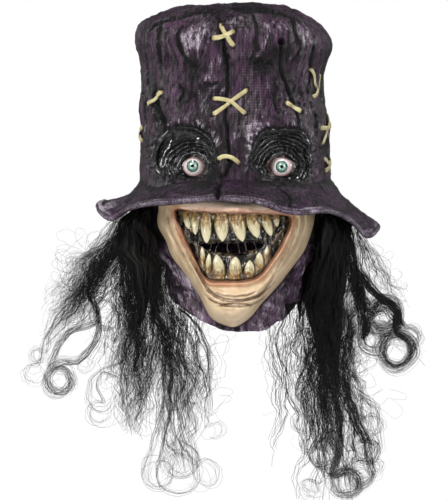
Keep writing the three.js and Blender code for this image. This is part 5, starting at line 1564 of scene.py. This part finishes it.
branch = [(-108, -88), (-128, -116), (-148, -146), (-168, -174), (-188, -194), (-206, -214)]
tresses = {
    # half width at the start and end, depth y at the start and end, strands, share wound up, path
    "left": [
        (10, 10, -44, -46, 130, 0.45, [(-96, -85), (-90, -115), (-82, -150), (-76, -190), (-68, -235), (-58, -285),
                                       (-52, -330), (-62, -370), (-58, -388)]),
        (11, 10, -34, -32, 130, 0.4, [(-104, -86), (-104, -120), (-98, -160), (-90, -205), (-82, -250), (-78, -295),
                                      (-82, -335), (-70, -372), (-78, -392)]),
        (12, 10, -24, -24, 140, 0.25, [(-108, -86), (-116, -120), (-114, -160), (-112, -205), (-106, -250),
                                       (-108, -300), (-118, -345)]),
        (12, 10, -12, -16, 110, 0.3, [(-110, -86), (-126, -112), (-132, -145), (-128, -180), (-120, -215),
                                      (-124, -255), (-118, -300), (-128, -335)]),
        (12, 15, -4, -14, 200, 0.2, branch),
        (16, 15, 6, -4, 160, 0.45, [*branch[:-1], (-210, -224), (-222, -238)]),
        (16, 18, 2, -2, 90, 0.6, [(-108, -88), (-132, -104), (-158, -138), (-186, -170), (-212, -200)]),
        (5, 4, -8, -16, 26, 0, ringed([*branch[:4], (-157.6, -213.9), (-189.8, -226.6), (-209, -252)],
                                      -204.7, -281.8, 15.8, 330, 400)),
        (5, 4, -10, -18, 28, 0, ringed([*branch[:4], (-157.6, -216), (-166.8, -240.4), (-180.6, -258.8),
                                        (-200, -259), (-212, -262)], -204.7, -281.8, 16.4, -30, -380)),
        (5, 2, -8, -16, 8, 0, ringed([*branch, (-219, -240)], -231, -276, 9.2, 20, -400)),
        (5, 2, -8, -14, 9, 0, ringed([*branch, (-218, -232)], -229, -253, 9.8, 60, -420)),
        (4, 2, -16, -20, 6, 0, ringed([(-140, -150), (-156, -200), (-158, -240), (-164, -262)],
                                      -172, -262, 9, 90, 300)),
        (4, 3, -30, -30, 9, 0, ringed([(-128, -180), (-132, -215), (-138, -238)], -147, -205, 15, 160, 420)),
        (4, 3, -40, -44, 8, 0, ringed([(-112, -205), (-130, -262), (-150, -272), (-160, -282)],
                                      -154, -300, 12, 300, -250)),
        (4, 3, -40, -44, 7, 0, ringed([(-132, -280), (-148, -272), (-156, -290)], -156, -318, 12, 20, -330)),
        (5, 6, -46, -56, 9, 0, ringed([(-84, -250), (-84, -300), (-92, -345)], -88, -385, 17, 300, -420)),
        (5, 6, -44, -54, 9, 0, ringed([(-78, -250), (-74, -310), (-82, -350)], -66, -384, 24, 290, -400)),
        (4, 3, -46, -50, 7, 0, ringed([(-70, -250), (-62, -310), (-50, -352)], -34, -384, 13, 300, 380)),
        (4, 6, -42, -50, 10, 0, ringed([(-74, -280), (-66, -330), (-60, -352)], -62, -372, 15, 60, 420)),
        (3, 7, -44, -60, 18, 0, [(-66, -195), (-50, -208), (-36, -232), (-31, -262), (-38, -292), (-48, -316)]),
        (3, 7, -44, -58, 16, 0, [(-70, -200), (-56, -222), (-46, -252), (-48, -284), (-58, -312)]),
        (2, 3, -48, -60, 5, 0, ringed([(-52, -212), (-34, -250), (-30, -285), (-32, -318)], -22, -334, 9, 290, 330)),
    ],
    "right": [
        (8, 8, -44, -46, 60, 0.3, [(95, -98), (91, -144), (93, -185), (93, -236), (86, -270), (79, -295),
                                   (84, -345)]),
        (12, 12, -36, -40, 190, 0.35, [(107, -92), (107, -167), (107, -236), (109, -282), (114, -328), (121, -362)]),
        (12, 11, -26, -32, 160, 0.35, [(118, -95), (127, -144), (125, -190), (119, -236), (128, -282), (146, -316),
                                       (156, -338), (148, -358), (150, -376)]),
        (10, 10, -34, -34, 110, 0.4, [(100, -95), (98, -150), (100, -210), (102, -262), (98, -310), (104, -352),
                                      (112, -372)]),
        (9, 8, -16, -20, 100, 0.3, [(126, -92), (138, -128), (144, -165), (140, -205), (134, -245), (140, -285)]),
        (12, 16, -6, -10, 50, 0.6, [(130, -95), (150, -128), (166, -160), (184, -190), (200, -204)]),
        (7, 7, -40, -50, 56, 0, ringed([(112, -250), (116, -310), (118, -352)], 127, -396, 15.5, 300, 420)),
        (7, 6, -40, -48, 40, 0, ringed([(124, -270), (136, -320), (150, -350)], 143, -386, 11.5, 60, 380)),
        (6, 5, -42, -52, 18, 0, ringed([(108, -270), (104, -330), (104, -352)], 113, -377, 11, 280, -400)),
        (4, 4, -42, -50, 10, 0, ringed([(92, -250), (84, -290)], 78, -330, 10, 40, 400)),
        (4, 4, -42, -50, 9, 0, ringed([(98, -270), (94, -318)], 83, -352, 8.5, 60, 420)),
        (4, 4, -36, -44, 12, 0, ringed([(122, -250), (130, -300)], 143, -352, 12, 250, 430)),
        (4, 4, -34, -40, 11, 0, ringed([(128, -240), (142, -290)], 157, -330, 10, 300, 420)),
        (4, 3, -36, -44, 8, 0, ringed([(130, -290), (146, -344)], 160, -378, 7, 330, 430)),
        (4, 3, -46, -52, 7, 0, ringed([(104, -320), (96, -380)], 85, -402, 7.5, 60, 400)),
        (4, 4, -36, -44, 11, 0, ringed([(112, -220), (120, -270)], 130, -314, 11, 290, -420)),
        (5, 5, -40, -50, 24, 0, ringed([(104, -270), (100, -320), (96, -345)], 102, -362, 13, 300, -420)),
        (5, 5, -38, -46, 22, 0, ringed([(124, -290), (138, -330), (146, -346)], 152, -360, 12, 330, 420)),
        (8, 7, -10, -18, 104, 0, ringed([(128, -120), (138, -158), (146, -184)], 171, -206, 19.5, 290, 380)),
        (7, 6, -12, -20, 36, 0, ringed([(132, -140), (144, -180), (148, -206)], 160, -232, 12.5, 270, -400)),
        (6, 7, -14, -22, 100, 0, ringed([(140, -150), (165, -184), (186, -204)], 187.5, -247, 19, 10, 400)),
        (5, 6, -14, -22, 60, 0, ringed([(136, -150), (144, -200), (150, -230)], 168, -216, 17, 250, 250)),
        (4, 4, -14, -20, 24, 0, ringed([(150, -170), (180, -196), (194, -216)], 202.4, -231, 10, 330, 330)),
        (2, 2, -48, -52, 5, 0, ringed([(100, -330), (98, -372), (102, -390)], 87.4, -401, 11, 60, -330)),
        (3, 8, -40, -46, 14, 0.2, [(88, -170), (74, -210), (64, -245), (56, -285)]),
        (3, 5, -44, -50, 16, 0, [(92, -230), (78, -262), (70, -290), (82, -318), (78, -340), (86, -352)]),
    ],
}
print("tresses:", {side: len(rows) for side, rows in tresses.items()})

# %% Strands
def tube_mesh(line, radius):
    """Three-sided tubes round lines of (strand, step): corners stand square to each line and the ends are shut."""
    count, steps = line.shape[:2]
    ahead = np.gradient(line, axis=1)
    ahead /= np.linalg.norm(ahead, axis=-1, keepdims=True) + 1e-9
    across = np.cross(ahead, [0.35, 0.93, 0.1])
    across /= np.linalg.norm(across, axis=-1, keepdims=True) + 1e-9
    up = np.cross(across, ahead)
    clock = np.array([0, 2 * np.pi / 3, 4 * np.pi / 3])
    ring = across[:, :, None] * np.cos(clock)[:, None] + up[:, :, None] * np.sin(clock)[:, None]
    points = line[:, :, None] + ring * radius[:, :, None, None]
    offset = (np.arange(count) * steps * 3)[:, None, None]
    last = (steps - 1) * 3
    cells = (grid_faces(steps, 3)[None] + offset).reshape(-1, 4)
    caps = (np.array([[0, 2, 1], [last, last + 1, last + 2]])[None] + offset).reshape(-1, 3)
    return points.reshape(-1, 3), [cells, caps]


def waved(line, strength, seed):
    """The line pushed about by two random fields, a broad one and a crimp, so that neighbours move together."""
    broad = [noise(line, 36, seed + axis) for axis in range(3)]
    crimp = [noise(line, (9, 9, 11), seed + 5 + axis) for axis in range(3)]
    push = 7.5 * np.stack(broad, axis=-1) + 4.6 * np.stack(crimp, axis=-1)
    return line + push * [1, 1, 0.5] * strength[..., None]


def wound(line, axis, start, angle):
    """The line wound up about an axis: its runs turn by more and more of an angle from a share of its length on."""
    runs = np.diff(line, axis=1)
    share = np.linspace(0, 1, line.shape[1])[None, 1:]
    turn = (angle * np.clip((share - start) / (1 - start), 0, 1) ** 1.3)[..., None]
    axis = axis[:, None]
    along_axis = axis * (runs * axis).sum(-1, keepdims=True)
    runs = runs * np.cos(turn) + np.cross(np.broadcast_to(axis, runs.shape), runs) * np.sin(turn)
    runs = runs + along_axis * (1 - np.cos(turn))
    return np.concatenate([line[:, :1], line[:, :1] + np.cumsum(runs, axis=1)], axis=1)


print("corners of a tube of 5 steps:", len(tube_mesh(np.cumsum(np.ones((1, 5, 3)), axis=1), np.ones((1, 5)))[0]))

# %% Strands of locks and tresses
def lock_strands(side, count, rng, steps=17):
    """Short strands lying on the locks, from anywhere in their upper part."""
    table = locks[side]
    pick = rng.choice(len(table), count, p=table[:, 4] * table[:, 3] / (table[:, 4] * table[:, 3]).sum())
    begin = rng.uniform(-0.25, core_ends[side] + 0.1, (count, 1)).clip(0.004, 1)
    along = begin + rng.uniform(0.2, 0.4, (count, 1)) * np.linspace(0, 1, steps)
    middle, radius, out, aside = lock_line(table[pick][:, None].repeat(steps, 1), along)
    place = np.sqrt(rng.uniform(0.5, 1.1, (count, 1)))
    angle = rng.uniform(0, 2 * np.pi, (count, 1)) + rng.normal(0, 0.5, (count, 1)) * along
    far = place * radius * (0.86 + 0.7 * along)
    line = middle + out * (far * np.cos(angle))[..., None] + aside * (far * np.sin(angle))[..., None]
    line = waved(line, 0.65 + 0.7 * along, 301)
    return line, rng.uniform(0.24, 0.4, (count, 1)) * (1 - 0.5 * np.linspace(0, 1, steps)), out[:, 0]


def tress_strands(row, rng, steps, wind):
    """Strands beside a tress's path, in bunches of about ten. A bunch has its own place in the section and its own
    wave, which turns like a corkscrew; its strands stray a little from it, more towards their ends."""
    wide_a, wide_b, deep_a, deep_b, count, share, path = row
    drawn = share == 0
    begin_in, end_bend, end_in, stray, swell, loosen, end_stray, push = (
        (0.1, 5, 0.3, 0.2, 1.0, 0, 4.5, 0.45) if drawn else (0.5, 2.5, 0.45, 0.16, 5.6, 1.5, 2, 0.85))
    count = max(1, round(count * (share if wind else 1 - share) * (1)))
    path = np.asarray(path, float)
    length = np.concatenate([[0], np.cumsum(np.hypot(*np.diff(path, axis=0).T))])
    begin = rng.uniform(0, begin_in, (count, 1)) ** 1.2
    end = 1 - rng.beta(1, end_bend, (count, 1)) * end_in
    at = begin + (np.maximum(end, begin + 0.3) - begin) * np.linspace(0, 1, steps)
    x, z = (curve(at * length[-1], length, values) for values in path.T)
    run_x, run_z = np.gradient(x, axis=1), np.gradient(z, axis=1)
    across = pack(run_z, 0, -run_x) / (np.hypot(run_x, run_z) + 1e-6)[..., None]
    wide = wide_a + (wide_b - wide_a) * at
    bunches = max(2, count // 10)
    bunch = rng.integers(0, bunches, count)
    centre = rng.normal(0, 0.5, (bunches, 2))[bunch]
    stray = rng.normal(0, stray, (count, 2))
    phase = rng.uniform(0, 2 * np.pi, bunches)[bunch][:, None] + rng.normal(0, 0.35, (count, 1))
    pitch = rng.uniform(34, 56, bunches)[bunch][:, None]
    swing = rng.uniform(0.5, 1.3, bunches)[bunch][:, None] * swell * at**0.7
    wave = phase + 2 * np.pi * at * length[-1] / pitch
    aside, deep = ((centre[:, [k]] + stray[:, [k]] * (1 + loosen * at)) * wide for k in (0, 1))
    deep = deep + swing * 0.7 * np.cos(wave) + deep_a + (deep_b - deep_a) * at
    line = pack(x, deep, z) + across * (aside + swing * np.sin(wave))[..., None]
    line = waved(line + rng.normal(0, end_stray, (count, 1, 3)) * (at**2)[..., None], push + 0 * at, 321)
    if wind:
        axis = np.array([0, 1, 0]) + rng.normal(0, 0.25, (count, 3))
        axis /= np.linalg.norm(axis, axis=1, keepdims=True)
        angle = rng.choice([-1, 1], (count, 1)) * rng.uniform(3.5, 8.5, (count, 1))
        line = wound(line, axis, rng.uniform(0.4, 0.7, (count, 1)), angle)
    thick = rng.uniform(0.12, 0.25, (count, 1)) * (1 - 0.45 * np.linspace(0, 1, steps))
    return line, thick


def frizz_strands(side, count, rng, steps=22):
    """Single hairs that stand away from the hank, thin and loosely bent, some of them wound up."""
    line, thick, out = lock_strands(side, count, rng, steps)
    share = np.linspace(0, 1, steps)[None, :, None]
    away = out[:, None] * rng.gamma(2.0, 4.5, (count, 1, 1)) * share
    aside = np.cross(out, [0, 0, 1])[:, None] * rng.normal(0, 6, (count, 1, 1)) * share
    line = waved(line + away + aside, 1.2 + 0 * line[..., 0], 341)
    angle = rng.choice([-1, 1], (count, 1)) * rng.uniform(0.5, 7, (count, 1))
    return wound(line, out, rng.uniform(0.3, 0.8, (count, 1)), angle), thick * 0.45


HAIR_BOX = ((-256, -172, -431), (220, 172, 60))


def hair_piece(name, lines, rng):
    """One mesh from groups of lines with different numbers of steps. Each strand has its own share of painted grey
    sheen.
    """
    points, cells, wash_shade_and_sheen, count = [], [], [], 0
    for line, thick in lines:
        line = np.clip(line, *HAIR_BOX)
        cloud, groups = tube_mesh(line, thick)
        points.append(cloud)
        cells += [group + count for group in groups]
        # Painted sheen: each strand gets its own share of grey.
        wash_shade_and_sheen.append((rng.beta(1.2, 3, (len(line), 1)) + np.zeros(line.shape[1] * 3)).ravel())
        count += len(cloud)
    make_piece(name, np.concatenate(points), cells, black_hair, values={"wash_shade_and_sheen": np.concatenate(wash_shade_and_sheen)})


short_count, frizz_count = ((740, 190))
for side, seed in (("left", 401), ("right", 411)):
    rng = np.random.default_rng(seed)
    plain = [row for row in tresses[side] if row[5] > 0]
    drawn = [row for row in tresses[side] if row[5] == 0]
    hair_piece(f"hair_cover_{side}", [lock_strands(side, short_count, rng)[:2]], rng)
    hair_piece(f"hair_tresses_{side}", [tress_strands(row, rng, 24, False) for row in plain], rng)
    hair_piece(f"hair_rings_{side}", [tress_strands(row, rng, 30, row[5] > 0) for row in plain + drawn], rng)
    hair_piece(f"hair_frizz_{side}", [frizz_strands(side, frizz_count, rng)], rng)
